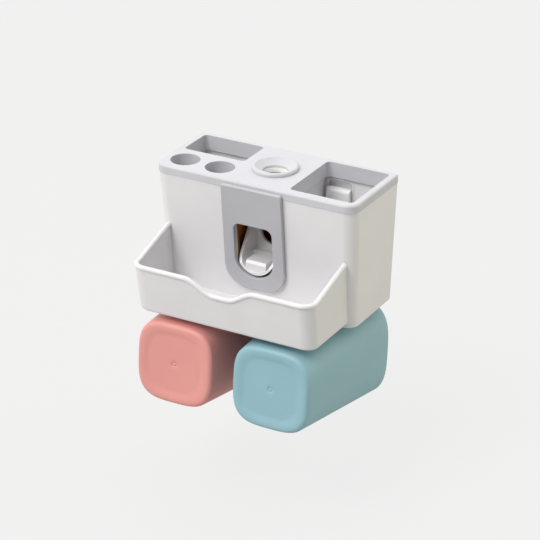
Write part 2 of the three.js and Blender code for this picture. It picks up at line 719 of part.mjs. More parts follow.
function makeHousing() {
  const { flangeFoot } = headHeights();
  const { back, x } = housingSpan();
  const top = flangeFoot;
  const low = RIM_Z + LOW_SCREW * Math.cos(FRONT_TILT) - HOUSING_FOOT;
  const inner = x - CHEEK;
  const throat = x - FLANGE_WIDTH;
  const seat = -BODY_WALL - GAP;
  const flangeBack = seat - FLANGE_THICKNESS;
  const room = box(-inner, inner, -FAR, back - CHEEK, low - PAST, top + PAST);
  const behindFlange = fromFront(box(-FAR, FAR, -FAR, FAR, -FAR, flangeBack));
  const holes = housingScrewPlaces().map(([sx, sy]) =>
    fromFront(rodZ(SCREW_SHANK / 2 + SCREW_CLEAR / 2, sx, sy, flangeBack - PAST, PAST)),
  );
  const made = cut(
    box(-x, x, 2 * FRONT_Y, back, low, top),
    fromFront(box(-FAR, FAR, -FAR, FAR, seat, FAR)),
    room.intersect(behindFlange),
    box(-throat, throat, -FAR, back - CHEEK, low - PAST, top + PAST),
    rodX(PIN_DIAMETER / 2 + PIN_CLEAR, PIN_Y, PIN_Z, -FAR, FAR),
    ...holes,
  );
  addPiece("squeezer_housing", made, plastic(BROWN, 0.5));
  addPiece("lever_pin", rodX(PIN_DIAMETER / 2, PIN_Y, PIN_Z, -x, x), steel());
}

function makeHousingScrews() {
  const length = BODY_WALL + GAP + FLANGE_THICKNESS;
  housingScrewPlaces().forEach(([x, y], i) => {
    const screw = joined(
      rodZ(SCREW_SHANK / 2, 0, 0, -length, SCREW_HEAD_HEIGHT),
      rodZ(SCREW_HEAD / 2, 0, 0, 0, SCREW_HEAD_HEIGHT),
    );
    const piece = addPiece(`housing_screw_${i + 1}`, screw, steel(), front);
    piece.position.set(x, y, 0);
  });
}

// Push lever: a scoop hung from the pin, with an arm behind that presses the bellows
function makeLever() {
  const half = LEVER_WIDTH / 2;
  const inner = half - LEVER_WALL;
  const foot = LEVER_FOOT_Z;
  const lip = PIN_Y - LEVER_REACH;
  const backTop = PIN_Y + LEVER_BACK_BEHIND;
  const backFoot = backTop - LEVER_BACK_LEAN;
  const earFront = PIN_Y - LEVER_EAR_FRONT;
  const side = polygon([
    [earFront, PIN_Z],
    [earFront, PIN_Z - LEVER_EAR_DROP],
    [lip, foot + LEVER_LIP],
    [lip, foot - PAST],
    [backFoot, foot - PAST],
    [backFoot, foot],
    [backTop, PIN_Z],
  ]);
  const trough = (radius, low) => {
    const shape = new THREE.Shape();
    shape.absarc(0, low + radius, radius, Math.PI, 2 * Math.PI);
    shape.lineTo(radius, PIN_Z + PAST);
    shape.lineTo(-radius, PIN_Z + PAST);
    shape.closePath();
    return shape;
  };
  const bowl = prismY(trough(half, foot), lip - PAST, backTop + PAST, 8);
  const outside = bowl.intersect(prismX(side, -FAR, FAR));
  const hollow = prismY(trough(inner, foot + LEVER_WALL), lip - PAST, backTop + PAST, 8).intersect(
    prismX(
      polygon([
        [lip - PAST, foot - PAST],
        [backFoot - LEVER_BACK, foot - PAST],
        [backTop - LEVER_BACK, PIN_Z + PAST],
        [lip - PAST, PIN_Z + PAST],
      ]),
      -FAR,
      FAR,
    ),
  );
  const notchFoot = foot + LEVER_NOTCH_HEIGHT + LEVER_NOTCH / 2;
  const notch = joined(
    rodY(LEVER_NOTCH / 2, 0, notchFoot, PIN_Y - LEVER_REACH, backTop + PAST, ROUND),
    box(-LEVER_NOTCH / 2, LEVER_NOTCH / 2, PIN_Y - LEVER_REACH, backTop + PAST, notchFoot, PIN_Z + PAST),
  );
  const ledgeFront = backFoot - LEVER_BACK - LEVER_LEDGE_DEPTH;
  const blockFront = backFoot - LEVER_BACK - LEVER_BLOCK_DEPTH;
  const blockHalf = LEVER_BLOCK_WIDTH / 2;
  const fill = joined(
    box(-half, half, ledgeFront, backTop, foot, foot + LEVER_LEDGE_HEIGHT),
    box(-blockHalf, blockHalf, blockFront, backTop, foot, foot + LEVER_BLOCK_HEIGHT),
  ).intersect(outside);
  const armTop = leverArmHeight();
  const armEnd = INLET_Y + LEVER_ARM_PAST;
  const hubX = housingSpan().x - CHEEK - GAP;
  const armHalf = LEVER_ARM_WIDTH / 2;
  const arm = joined(
    rodX(LEVER_HUB / 2, PIN_Y, PIN_Z, -hubX, hubX),
    box(-armHalf, armHalf, PIN_Y, armEnd, armTop - LEVER_ARM_THICKNESS, armTop),
    box(-armHalf, armHalf, PIN_Y, PIN_Y + LEVER_HUB / 2, PIN_Z, armTop),
  );
  const scoop = joined(cut(outside, hollow, notch), fill);
  const made = cut(joined(scoop, arm), rodX(PIN_DIAMETER / 2 + PIN_CLEAR, PIN_Y, PIN_Z, -FAR, FAR));
  addPiece("push_lever", made, plastic(GLOSS_WHITE, 0.18));
}

// Dispenser panel on the leaning front
function makePanel() {
  const half = PANEL_WIDTH / 2;
  const outline = roundedRectangle(
    -half,
    half,
    PANEL_FOOT,
    PANEL_RISE,
    PANEL_FOOT_CORNER,
    PANEL_TOP_CORNER,
  );
  const halfWindow = WINDOW_WIDTH / 2;
  outline.holes.push(
    roundedRectangle(-halfWindow, halfWindow, WINDOW_FOOT, WINDOW_HEAD, halfWindow, WINDOW_CORNER),
  );
  const back = GAP;
  const plate = solid(softBlock(outline, back - PANEL_EDGE, back + PANEL_THICKNESS, PANEL_EDGE, 2, 6));
  const trimmed = cut(plate, box(-FAR, FAR, -FAR, FAR, back - 2 * PANEL_EDGE, back));
  const pocketDepth = SCREW_HEAD_HEIGHT + GAP;
  const pockets = housingScrewPlaces().map(([x, y]) => rodZ(SCREW_HEAD / 2 + GAP, x, y, 0, pocketDepth));
  const tabHalf = TAB_WIDTH / 2;
  const tabDeep = -TAB_LENGTH;
  const headTab = WINDOW_HEAD + TAB_ROOM - GAP;
  const footTab = WINDOW_FOOT - TAB_ROOM + GAP;
  const tabs = [
    box(-tabHalf, tabHalf, headTab - TAB_THICKNESS, headTab, tabDeep, back + PANEL_EDGE),
    box(-tabHalf, tabHalf, footTab, footTab + TAB_THICKNESS, tabDeep, back + PANEL_EDGE),
  ];
  addPiece("dispenser_panel", joined(cut(trimmed, ...pockets), ...tabs), plastic(GREY, 0.4), front);
}

// Front tray
function trayPlaces() {
  const rimZ = TRAY_FOOT_Z + TRAY_HEIGHT;
  const frontY = FRONT_Y - TRAY_FRONT;
  const rearY = frontFaceY(BASE_Z) + BODY_WALL;
  return { rimZ, frontY, rearY };
}

function lugTop() {
  return TRAY_FOOT_Z + TRAY_LUG_HEIGHT;
}

// Leans the tray's walls in towards its floor
function trayLean(p) {
  const { rimZ, frontY, rearY } = trayPlaces();
  const drop = (rimZ - p.z) / TRAY_HEIGHT;
  p.x *= 1 - (2 * TRAY_SIDE_LEAN * drop) / TRAY_WIDTH;
  p.y = rearY + (p.y - rearY) * (1 - (TRAY_FRONT_LEAN * drop) / (rearY - frontY));
}

// Height of the rim: it climbs along the sides to the body and dips in the middle of the front
function trayRim(x, y) {
  const { rimZ, frontY, rearY } = trayPlaces();
  const sideStart = frontY + TRAY_CORNER;
  const climb = Math.max(0, y - sideStart) / (rearY - sideStart);
  const slope = (TRAY_DIP_WIDTH - TRAY_DIP_LEVEL) / 2;
  const up = Math.min(Math.max((Math.abs(x) - TRAY_DIP_LEVEL / 2) / slope, 0), 1);
  const wave = 0.5 + 0.5 * Math.cos(Math.PI * up);
  const onFront = y < frontY + TRAY_WALL ? 1 : 0;
  return rimZ + TRAY_SIDE_RISE * climb - onFront * TRAY_DIP * wave;
}

// Points along the rim, from the body on the left, round the front, to the body on the right
function trayRimPath(inset) {
  const { frontY, rearY } = trayPlaces();
  const half = TRAY_WIDTH / 2 - inset;
  const radius = TRAY_CORNER - inset;
  const near = frontY + inset;
  const plan = new THREE.Path();
  plan.moveTo(-half, rearY);
  plan.lineTo(-half, near + radius);
  plan.absarc(-half + radius, near + radius, radius, Math.PI, 1.5 * Math.PI);
  plan.absarc(half - radius, near + radius, radius, 1.5 * Math.PI, 2 * Math.PI);
  plan.lineTo(half, rearY);
  return plan.getSpacedPoints(96).map(({ x, y }) => {
    const point = new THREE.Vector3(x, y, trayRim(x, y - inset));
    trayLean(point);
    return point;
  });
}

function makeTray() {
  const { rimZ, frontY, rearY } = trayPlaces();
  const half = TRAY_WIDTH / 2;
  const high = rimZ + TRAY_SIDE_RISE + PAST;
  const shape = (inset) =>
    roundedRectangle(
      -half + inset,
      half - inset,
      frontY + inset,
      rearY + TRAY_CORNER,
      TRAY_CORNER - inset,
      TRAY_EDGE + GAP,
    );
  const block = softBlock(shape(0), TRAY_FOOT_Z, high + TRAY_EDGE, TRAY_EDGE, 2, 4);
  const outer = solid(moved(block, trayLean));
  const floorTop = TRAY_FOOT_Z + TRAY_FLOOR;
  const hollow = solid(moved(extrudedZ(shape(TRAY_WALL), floorTop, high + PAST, 4), trayLean));
  const overSides = polygon([
    [frontY - FAR, rimZ],
    [frontY + TRAY_CORNER, rimZ],
    [rearY, rimZ + TRAY_SIDE_RISE],
    [rearY + FAR, rimZ + TRAY_SIDE_RISE],
    [rearY + FAR, FAR],
    [frontY - FAR, FAR],
  ]);
  const dipSteps = 24;
  const dipHalf = TRAY_DIP_WIDTH / 2;
  const dip = [];
  for (let i = 0; i <= dipSteps; i++) {
    const x = -dipHalf + (TRAY_DIP_WIDTH * i) / dipSteps;
    dip.push([x, trayRim(x, frontY)]);
  }
  const overDip = polygon([...dip, [dipHalf, FAR], [-dipHalf, FAR]]);
  const rimInset = TRAY_WALL / 2;
  const path = new THREE.CatmullRomCurve3(trayRimPath(rimInset));
  const beadShape = new THREE.Shape().absarc(0, 0, TRAY_BEAD / 2, 0, 2 * Math.PI);
  const sweep = { steps: 110, extrudePath: path, curveSegments: 4, bevelEnabled: false };
  const bead = solid(new THREE.ExtrudeGeometry(beadShape, sweep));
  const walls = cut(
    outer,
    hollow,
    prismX(overSides, -FAR, FAR),
    prismY(overDip, frontY - FAR, frontY + TRAY_CORNER),
  );
  const bodyRoom = bodyPrism(-GAP, BASE_Z - PAST, high + PAST);
  const lugs = [-1, 1].map((side) => {
    const middle = (side * TRAY_LUG_SPACING) / 2;
    const x0 = middle - TRAY_LUG_WIDTH / 2;
    const x1 = middle + TRAY_LUG_WIDTH / 2;
    const face = frontFaceY(FLOOR_Z);
    return box(x0, x1, face - TRAY_LUG_FOOT, face + BODY_WALL, TRAY_FOOT_Z, lugTop());
  });
  const made = joined(cut(joined(walls, bead), bodyRoom), ...lugs);
  addPiece("front_tray", made, plastic(WHITE, 0.38));
}

// Cups, each lying with its mouth to the wall and its upper wall level
const CUP_TAPER = Math.atan2(CUP_MOUTH - CUP_BASE, 2 * CUP_LENGTH);

// A square with bowed sides and soft corners
function softSquare(half) {
  const power = CUP_SQUARENESS;
  const points = [];
  for (let i = 0; i < CUP_SIDES; i++) {
    const angle = (2 * Math.PI * i) / CUP_SIDES;
    const across = Math.cos(angle);
    const along = Math.sin(angle);
    const reach = half / (Math.abs(across) ** power + Math.abs(along) ** power) ** (1 / power);
    points.push([reach * across, reach * along]);
  }
  return polygon(points);
}

function cupBlock(inset, low, high, edge) {
  const half = CUP_BASE / 2 - inset;
  return moved(softBlock(softSquare(half), low, high + edge, edge, 3, 1), (p) => {
    const grow = 1 + ((CUP_MOUTH - CUP_BASE) * p.z) / (2 * half * CUP_LENGTH);
    p.x *= grow;
    p.y *= grow;
  });
}

function makeCup(name, side, color) {
  const overshoot = CUP_EDGE + PAST;
  const outer = solid(cupBlock(0, 0, CUP_LENGTH + overshoot, CUP_EDGE));
  const inner = solid(cupBlock(CUP_WALL, CUP_FLOOR, CUP_LENGTH + 2 * overshoot, CUP_EDGE - CUP_WALL / 2));
  const recess = softSquare(CUP_BASE / 2 - CUP_RECESS_INSET);
  const made = cut(
    outer,
    inner,
    box(-FAR, FAR, -FAR, FAR, CUP_LENGTH, CUP_LENGTH + FAR),
    prismZ(recess, -PAST, CUP_RECESS),
  );
  // Hung from the corner of its mouth's upper wall, with the axis dipping by the taper
  const hung = new THREE.Group();
  const flangeFoot = BASE_Z - HANGER_FLANGE;
  const webFace = REAR_Y - HANGER_WEB / 2;
  hung.position.set((side * CUP_PITCH) / 2, webFace - GAP, flangeFoot - GAP);
  hung.rotation.x = -CUP_TAPER;
  const lying = new THREE.Group();
  lying.rotation.x = -Math.PI / 2;
  lying.position.set(0, -CUP_LENGTH, -CUP_MOUTH / 2);
  hung.add(lying);
  part.add(hung);
  addPiece(name, made, plastic(color, 0.5), lying);
}

// Hangers under the body's floor: the cup's upper wall slides in between flange and tongue
function makeHanger(name, side) {
  const middle = (side * CUP_PITCH) / 2;
  const half = HANGER_WIDTH / 2;
  const rear = REAR_Y + HANGER_WEB / 2;
  const webFace = rear - HANGER_WEB;
  const flangeFoot = BASE_Z - HANGER_FLANGE;
  const tongueTop = flangeFoot - 2 * GAP - CUP_WALL;
  const tongueFoot = tongueTop - HANGER_TONGUE;
  const tongueHalf = HANGER_TONGUE_WIDTH / 2;
  const tongueEnd = webFace - HANGER_TONGUE_LENGTH;
  const body = joined(
    box(middle - half, middle + half, rear - HANGER_FLANGE_LENGTH, rear, flangeFoot, BASE_Z),
    box(middle - tongueHalf, middle + tongueHalf, webFace, rear, tongueFoot, BASE_Z),
    box(middle - tongueHalf, middle + tongueHalf, tongueEnd, rear, tongueFoot, tongueTop),
  );
  const holes = hangerScrewPlaces(side).flatMap(([x, y]) => [
    rodZ(SCREW_SHANK / 2 + SCREW_CLEAR, x, y, flangeFoot - PAST, BASE_Z + PAST),
    rodZ(SCREW_HEAD / 2 + SCREW_CLEAR, x, y, flangeFoot - GAP, flangeFoot + SCREW_HEAD_HEIGHT + GAP / 2),
  ]);
  addPiece(name, cut(body, ...holes), plastic(WHITE, 0.45));
  hangerScrewPlaces(side).forEach(([x, y], i) => {
    const headTop = flangeFoot + SCREW_HEAD_HEIGHT;
    const screw = joined(
      rodZ(SCREW_HEAD / 2, 0, 0, flangeFoot, headTop),
      rodZ(SCREW_SHANK / 2, 0, 0, flangeFoot, FLOOR_Z - GAP),
    );
    addPiece(`${name}_screw_${i + 1}`, screw, steel()).position.set(x, y, 0);
  });
}

makeWallPlate();
makeMainBody();
makeTopCover();
makeInlet();
makePumpHead();
makeBellows();
makeNozzle();
makeHousing();
makeHousingScrews();
makeLever();
makePanel();
makeTray();
makeCup("cup_left", -1, PINK);
makeCup("cup_right", 1, BLUE);
makeHanger("cup_hanger_left", -1);
makeHanger("cup_hanger_right", 1);

export default part;
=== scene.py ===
# %% [markdown]
# # A wall-mounted toothbrush holder
# The imported CAD model comes in first and is never moved. Everything made below is a finer skin
# for one of its nodes, in the same frame: metres, +Z up, +Y to the wall. The box of the CAD model
# is kept, and the inlet ring's height and the floor's level are taken from it.

# %% Load the frame
import math

import bmesh
import bpy
from mathutils import Matrix, Vector


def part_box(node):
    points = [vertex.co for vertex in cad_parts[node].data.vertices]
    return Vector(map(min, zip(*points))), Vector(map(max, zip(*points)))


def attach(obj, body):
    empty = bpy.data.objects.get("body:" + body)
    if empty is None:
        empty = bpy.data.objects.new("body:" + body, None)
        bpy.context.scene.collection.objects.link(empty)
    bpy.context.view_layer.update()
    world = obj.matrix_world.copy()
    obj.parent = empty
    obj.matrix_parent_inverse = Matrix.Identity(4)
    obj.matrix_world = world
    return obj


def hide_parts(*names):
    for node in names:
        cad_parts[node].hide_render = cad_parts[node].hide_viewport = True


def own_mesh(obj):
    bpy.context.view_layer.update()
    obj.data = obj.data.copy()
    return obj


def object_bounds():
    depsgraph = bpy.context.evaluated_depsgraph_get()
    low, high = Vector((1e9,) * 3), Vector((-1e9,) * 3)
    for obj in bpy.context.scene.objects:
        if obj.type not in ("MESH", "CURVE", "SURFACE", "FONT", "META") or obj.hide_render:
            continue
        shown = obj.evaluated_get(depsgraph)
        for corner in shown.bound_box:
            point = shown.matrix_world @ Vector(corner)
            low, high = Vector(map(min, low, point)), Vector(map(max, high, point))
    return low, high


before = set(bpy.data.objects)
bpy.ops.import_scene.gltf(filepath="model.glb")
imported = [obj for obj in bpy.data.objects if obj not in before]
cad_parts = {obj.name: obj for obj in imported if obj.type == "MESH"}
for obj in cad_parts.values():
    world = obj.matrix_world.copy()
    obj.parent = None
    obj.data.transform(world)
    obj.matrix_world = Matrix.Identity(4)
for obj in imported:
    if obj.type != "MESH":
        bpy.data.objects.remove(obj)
cad_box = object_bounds()
MM = 0.001


def size_in_mm(box):
    return [round((b - a) / MM, 1) for a, b in zip(*box)]


print("nodes", len(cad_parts), "box in mm", size_in_mm(cad_box))

# %% [markdown]
# ## The camera
# The photograph was taken with a long lens from the right, above the holder. The angles, the
# distance and the small offsets were fitted to the cover's corners and the cups in the picture.
# With a lens this long the sides stay nearly parallel, as they do in the photograph.

# %% Camera
YAW = math.radians(28.9)
PITCH = math.radians(25.3)
ROLL = math.radians(0.3)
PIXELS = 540
FOCAL_PIXELS = 2500
SENSOR = 36
AIM = Vector((0, -3.9, 38)) * MM
DISTANCE = 1792.6 * MM
ASIDE = 21.04 * MM
ABOVE = 84.74 * MM


def make_camera():
    flat = math.cos(PITCH)
    ahead = Vector((-math.sin(YAW) * flat, math.cos(YAW) * flat, -math.sin(PITCH)))
    level = Vector((math.cos(YAW), math.sin(YAW), 0))
    upright = level.cross(ahead)
    right = level * math.cos(ROLL) + upright * math.sin(ROLL)
    up = upright * math.cos(ROLL) - level * math.sin(ROLL)
    data = bpy.data.cameras.new("photo_camera")
    data.sensor_width = SENSOR
    data.lens = FOCAL_PIXELS / PIXELS * SENSOR
    camera = bpy.data.objects.new("photo_camera", data)
    turn = Matrix((right, up, -ahead)).transposed().to_4x4()
    spot = AIM - ahead * DISTANCE - right * ASIDE - up * ABOVE
    camera.matrix_world = Matrix.Translation(spot) @ turn
    bpy.context.scene.collection.objects.link(camera)
    bpy.context.scene.camera = camera
    return camera


camera = make_camera()
print("lens", round(camera.data.lens, 1), "mm, camera at", [round(c, 3) for c in camera.location])

# %% [markdown]
# ## Moulded plastic
# Every large piece is injection-moulded. Such plastic is never one flat colour: the melt leaves a
# faint broad clouding, the mould's spark-eroded steel leaves a fine grain, and the edges wear a
# little and catch light. Noise at two sizes on Object coordinates gives the clouding and the grain,
# and the Geometry node's Pointiness, which is high on edges, lightens the edges: a little wear and a
# painted highlight.

# %% Material helpers
def srgb(*levels):
    shares = [level / 255 for level in levels]
    linear = [s / 12.92 if s <= 0.04 else ((s + 0.055) / 1.055) ** 2.4 for s in shares]
    return (*linear, 1)


def shaded(colour, share):
    return (*(min(1, c * share) for c in colour[:3]), 1)


class Finish:
    """A material with its Principled shader and the object coordinates that every pattern reads."""

    def __init__(self, name):
        self.material = bpy.data.materials.new(name)
        self.material.use_nodes = True
        self.nodes = self.material.node_tree.nodes
        self.links = self.material.node_tree.links
        self.shader = self.nodes["Principled BSDF"]
        self.place = self.nodes.new("ShaderNodeTexCoord").outputs["Object"]

    def join(self, source, target):
        """Links a pattern to a socket, or gives the socket a plain value."""
        if isinstance(source, bpy.types.NodeSocket):
            self.links.new(source, target)
        else:
            target.default_value = source

    def feed(self, **inputs):
        """Sets the shader's inputs, with an underscore for the space in a name."""
        for name, source in inputs.items():
            self.join(source, self.shader.inputs[name.replace("_", " ")])

    def noise(self, scale, detail=3.0, stretch=None):
        place = self.place
        if stretch:
            mapping = self.nodes.new("ShaderNodeMapping")
            mapping.inputs["Scale"].default_value = stretch
            self.join(place, mapping.inputs["Vector"])
            place = mapping.outputs["Vector"]
        node = self.nodes.new("ShaderNodeTexNoise")
        node.inputs["Scale"].default_value = scale
        node.inputs["Detail"].default_value = detail
        self.join(place, node.inputs["Vector"])
        return node.outputs["Fac"]

    def spread(self, source, low, high, source_low=0.3, source_high=0.7):
        node = self.nodes.new("ShaderNodeMapRange")
        for socket, value in zip(node.inputs[1:5], (source_low, source_high, low, high)):
            socket.default_value = value
        self.join(source, node.inputs["Value"])
        return node.outputs["Result"]

    def mix(self, share, first, second):
        node = self.nodes.new("ShaderNodeMix")
        node.data_type = "RGBA"
        self.join(share, next(s for s in node.inputs if s.type == "VALUE"))
        colours = [s for s in node.inputs if s.type == "RGBA"]
        for socket, value in zip(colours, (first, second)):
            self.join(value, socket)
        return next(s for s in node.outputs if s.type == "RGBA")

    def bump(self, height, strength, distance, under=None):
        node = self.nodes.new("ShaderNodeBump")
        node.inputs["Strength"].default_value = strength
        node.inputs["Distance"].default_value = distance
        self.join(height, node.inputs["Height"])
        if under:
            self.join(under, node.inputs["Normal"])
        return node.outputs["Normal"]


print("photo's grey ground in linear light", round(srgb(241, 241, 241)[0], 3))

# %% Moulded plastics
CLOUD_SCALE = 26
CLOUD_DARK, CLOUD_LIGHT = 0.965, 1.02
# The edges are lightened by this share of the colour: a little wear and a painted highlight.
EDGE_PAINTED_HIGHLIGHT = 1.1
EDGE_WEAR_AND_HIGHLIGHT = 0.5
EDGE_START, EDGE_END = 0.52, 0.62  # in Pointiness, which is 0.5 on a flat face
GRAIN_SCALE = 2600
GRAIN_DEPTH = 0.05 * MM
ROUGHNESS_SPREAD = 0.05
RIPPLE_SCALE = 120
RIPPLE_STRENGTH = 0.05
RIPPLE_DEPTH = 0.3 * MM
COAT_ROUGHNESS = 0.12


def moulded(name, colour, roughness, grain, coat=0.0):
    finish = Finish(name)
    clouds = finish.spread(finish.noise(CLOUD_SCALE, 4), 0, 1)
    body = finish.mix(clouds, shaded(colour, CLOUD_DARK), shaded(colour, CLOUD_LIGHT))
    edges = finish.nodes.new("ShaderNodeNewGeometry").outputs["Pointiness"]
    # Lighter edges from Pointiness: a little wear and a painted highlight.
    worn_and_highlit = finish.spread(edges, 0, EDGE_WEAR_AND_HIGHLIGHT, EDGE_START, EDGE_END)
    fine = finish.noise(GRAIN_SCALE, 2)
    ripple = finish.bump(finish.noise(RIPPLE_SCALE, 2), RIPPLE_STRENGTH, RIPPLE_DEPTH)
    finish.feed(
        Base_Color=finish.mix(worn_and_highlit, body, shaded(colour, EDGE_PAINTED_HIGHLIGHT)),
        Roughness=finish.spread(fine, roughness - ROUGHNESS_SPREAD, roughness + ROUGHNESS_SPREAD),
        Normal=finish.bump(fine, grain, GRAIN_DEPTH, ripple),
        Coat_Weight=coat,
        Coat_Roughness=COAT_ROUGHNESS,
    )
    return finish.material


# Each has its colour, its roughness, the strength of its grain and, on the lever, a glossy coat
white_moulding = moulded("white_moulding", srgb(231, 230, 231), 0.42, 0.12)
gloss_moulding = moulded("gloss_white_moulding", srgb(236, 234, 235), 0.2, 0.03, 0.5)
cover_moulding = moulded("cover_grey_moulding", srgb(204, 204, 209), 0.38, 0.14)
panel_moulding = moulded("panel_grey_moulding", srgb(188, 188, 193), 0.4, 0.14)
brown_moulding = moulded("brown_moulding", srgb(150, 96, 38), 0.5, 0.1)
pink_moulding = moulded("pink_cup_moulding", srgb(229, 156, 149), 0.45, 0.1)
blue_moulding = moulded("blue_cup_moulding", srgb(147, 188, 199), 0.45, 0.1)
print("plastics", [m.name for m in bpy.data.materials if m.name.endswith("moulding")])

# %% [markdown]
# ## Silicone, foam tape and plated steel
# The seal, valve, bellows and nozzle are cloudy silicone, which lets light in a little way. The pad
# on the wall plate is closed-cell foam, whose cells a Voronoi pattern gives. Screws and the lever's
# pin are zinc-plated steel: noise stretched along one axis draws the fine turning marks.

# %% Other materials
DUST_SCALE = 90
SKIN_SCALE = 700
PORE_SCALE = 900
LIGHT_REACH = 1.5 * MM
FOAM_CELLS = 1500
FOAM_PATCHES = 400
TURNING_MARKS = 900
MARK_STRETCH = (1, 1, 0.08)


def silicone_rubber():
    finish = Finish("silicone_rubber")
    dust = finish.spread(finish.noise(DUST_SCALE, 5), 0, 1)
    finish.feed(
        Base_Color=finish.mix(dust, srgb(235, 233, 229), srgb(243, 242, 239)),
        Roughness=finish.spread(finish.noise(SKIN_SCALE, 3), 0.42, 0.6),
        Normal=finish.bump(finish.noise(PORE_SCALE, 3), 0.1, 0.1 * MM),
        Subsurface_Weight=0.15,
        Subsurface_Radius=(1, 0.8, 0.6),
        Subsurface_Scale=LIGHT_REACH,
    )
    return finish.material


def foam_tape():
    finish = Finish("foam_tape")
    cells = finish.nodes.new("ShaderNodeTexVoronoi")
    cells.inputs["Scale"].default_value = FOAM_CELLS
    finish.join(finish.place, cells.inputs["Vector"])
    depth = cells.outputs["Distance"]
    tone = finish.spread(depth, 0, 1, 0, 0.8)
    finish.feed(
        Base_Color=finish.mix(tone, srgb(200, 196, 184), srgb(222, 219, 208)),
        Roughness=finish.spread(finish.noise(FOAM_PATCHES, 2), 0.85, 0.98),
        Normal=finish.bump(depth, 0.6, 0.2 * MM),
    )
    return finish.material


def plated_steel():
    finish = Finish("plated_steel")
    marks = finish.noise(TURNING_MARKS, 3, MARK_STRETCH)
    tone = finish.spread(marks, 0, 1)
    finish.feed(
        Base_Color=finish.mix(tone, srgb(176, 178, 182), srgb(206, 207, 209)),
        Roughness=finish.spread(marks, 0.24, 0.42),
        Normal=finish.bump(marks, 0.08, 0.05 * MM),
        Metallic=1,
    )
    return finish.material


silicone = silicone_rubber()
foam = foam_tape()
steel = plated_steel()
print("also", silicone.name, foam.name, steel.name)

# %% [markdown]
# ## Softened CAD pieces
# A mould has no knife-sharp edges. Where a node's shape is already right, its mesh is copied, its
# loose triangles are merged, flat faces are put together again, and a Bevel modifier rolls every
# sharp edge by a fraction of a millimetre. Where thin ribs would stop the bevel, only chosen edges
# are given a bevel weight. Weighted Normal keeps the large flats looking flat.

# %% Softened copies
SMOOTH_ANGLE = math.radians(32)
FLAT_ANGLE = math.radians(0.4)
SAME_POINT = 0.002 * MM


def new_piece(name, mesh, material, body, slot, *nodes):
    piece = bpy.data.objects.new(name, mesh)
    bpy.context.scene.collection.objects.link(piece)
    mesh.materials.clear()
    mesh.materials.append(material)
    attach(piece, body)
    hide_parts(*nodes)
    print(name, "faces", len(mesh.polygons))
    return piece


def shade(mesh):
    for face in mesh.polygons:
        face.use_smooth = True
    mesh.set_sharp_from_angle(angle=SMOOTH_ANGLE)


def even_normals(piece):
    modifier = piece.modifiers.new("even_normals", "WEIGHTED_NORMAL")
    modifier.keep_sharp = True


def soften(piece, edge, steps, weighted):
    bevel = piece.modifiers.new("rolled_edges", "BEVEL")
    bevel.width = edge * MM
    bevel.segments = steps
    bevel.limit_method = "WEIGHT" if weighted else "ANGLE"
    bevel.angle_limit = SMOOTH_ANGLE
    bevel.miter_outer = "MITER_ARC"


def softened_copy(node, material, body, slot, edge, steps=2, chosen=None):
    shape = bmesh.new()
    shape.from_mesh(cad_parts[node].data)
    bmesh.ops.remove_doubles(shape, verts=shape.verts, dist=SAME_POINT)
    bmesh.ops.dissolve_degenerate(shape, edges=shape.edges, dist=SAME_POINT)
    bmesh.ops.dissolve_limit(shape, angle_limit=FLAT_ANGLE, verts=shape.verts, edges=shape.edges)
    if chosen:
        bmesh.ops.connect_verts_concave(shape, faces=shape.faces)
        weight = shape.edges.layers.float.new("bevel_weight_edge")
        for line in shape.edges:
            line[weight] = 1 if chosen(line) else 0
    mesh = bpy.data.meshes.new(node + "_soft")
    shape.to_mesh(mesh)
    shape.free()
    shade(mesh)
    piece = new_piece(node + "_soft", mesh, material, body, slot, node)
    soften(piece, edge, steps, chosen is not None)
    even_normals(piece)


print("edges that turn by over", round(math.degrees(SMOOTH_ANGLE)), "degrees are rolled")

# %% [markdown]
# ## The body and its cover
# The white body is a box with thin walls that taper towards the floor, so that it leaves its mould.
# Only its foot is rolled, all the way round. The grey cover closes it, and its edges are all rolled
# a little, because hands lift it.

# %% Body and cover
BASE_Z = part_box("main_body")[0].z / MM
FOOT_ROUND = 1.6
FOOT_SIDE, FOOT_FRONT, FOOT_REAR = 74, -62, -4.2  # the foot's outline lies past these
FOOT_LEVEL = 0.01
SHARP_TURN = 1


def on_the_foot(line):
    places = [v.co / MM for v in line.verts]
    low = all(abs(p.z - BASE_Z) < FOOT_LEVEL for p in places)
    outer = all(abs(p.x) > FOOT_SIDE or p.y < FOOT_FRONT or p.y > FOOT_REAR for p in places)
    return low and outer and len(line.link_faces) == 2 and line.calc_face_angle() > SHARP_TURN


softened_copy("main_body", white_moulding, "holder", "white_plastic", FOOT_ROUND, 4, chosen=on_the_foot)
softened_copy("top_cover", cover_moulding, "cover", "grey_plastic", edge=0.5)

# %% [markdown]
# ## The dispenser
# In the window of the front hangs the glossy white lever, and behind it is a brown housing that
# carries the lever's steel pin and the pump head. The lever is rolled most, because a wet brush
# pushes it.

# %% Dispenser
softened_copy("push_lever", gloss_moulding, "lever", "gloss_white_plastic", edge=0.4)
softened_copy("squeezer_housing", brown_moulding, "holder", "brown_plastic", edge=0.25)
softened_copy("pump_head", white_moulding, "holder", "white_plastic", edge=0.2)
softened_copy("lever_pin", steel, "holder", "steel", edge=0.2)

# %% [markdown]
# ## What hangs and what is hung
# The wall plate is stuck to the tiles by its foam pad, and the body hangs on its two hooks. Under
# the body, two T-shaped hangers hold the cups. All are plain strong mouldings, so a copy is enough.

# %% Plate, pad and hangers
softened_copy("wall_plate", white_moulding, "wall_mount", "white_plastic", edge=0.5)
softened_copy("adhesive_pad", foam, "wall_mount", "foam_tape", edge=0.2)
softened_copy("cup_hanger_left", white_moulding, "holder", "white_plastic", edge=0.35)
softened_copy("cup_hanger_right", white_moulding, "holder", "white_plastic", edge=0.35)

# %% [markdown]
# ## Turned pieces
# The inlet's ring, the seal, the valve, the bellows and the nozzle are all round. Each is a half
# section, written as radius and height, carried round an upright axis. A fine step keeps the ring's
# outline smooth from close by, and arcs in the section replace the CAD's few straight facets.

# %% Turned pieces
TURN_STEPS = 96


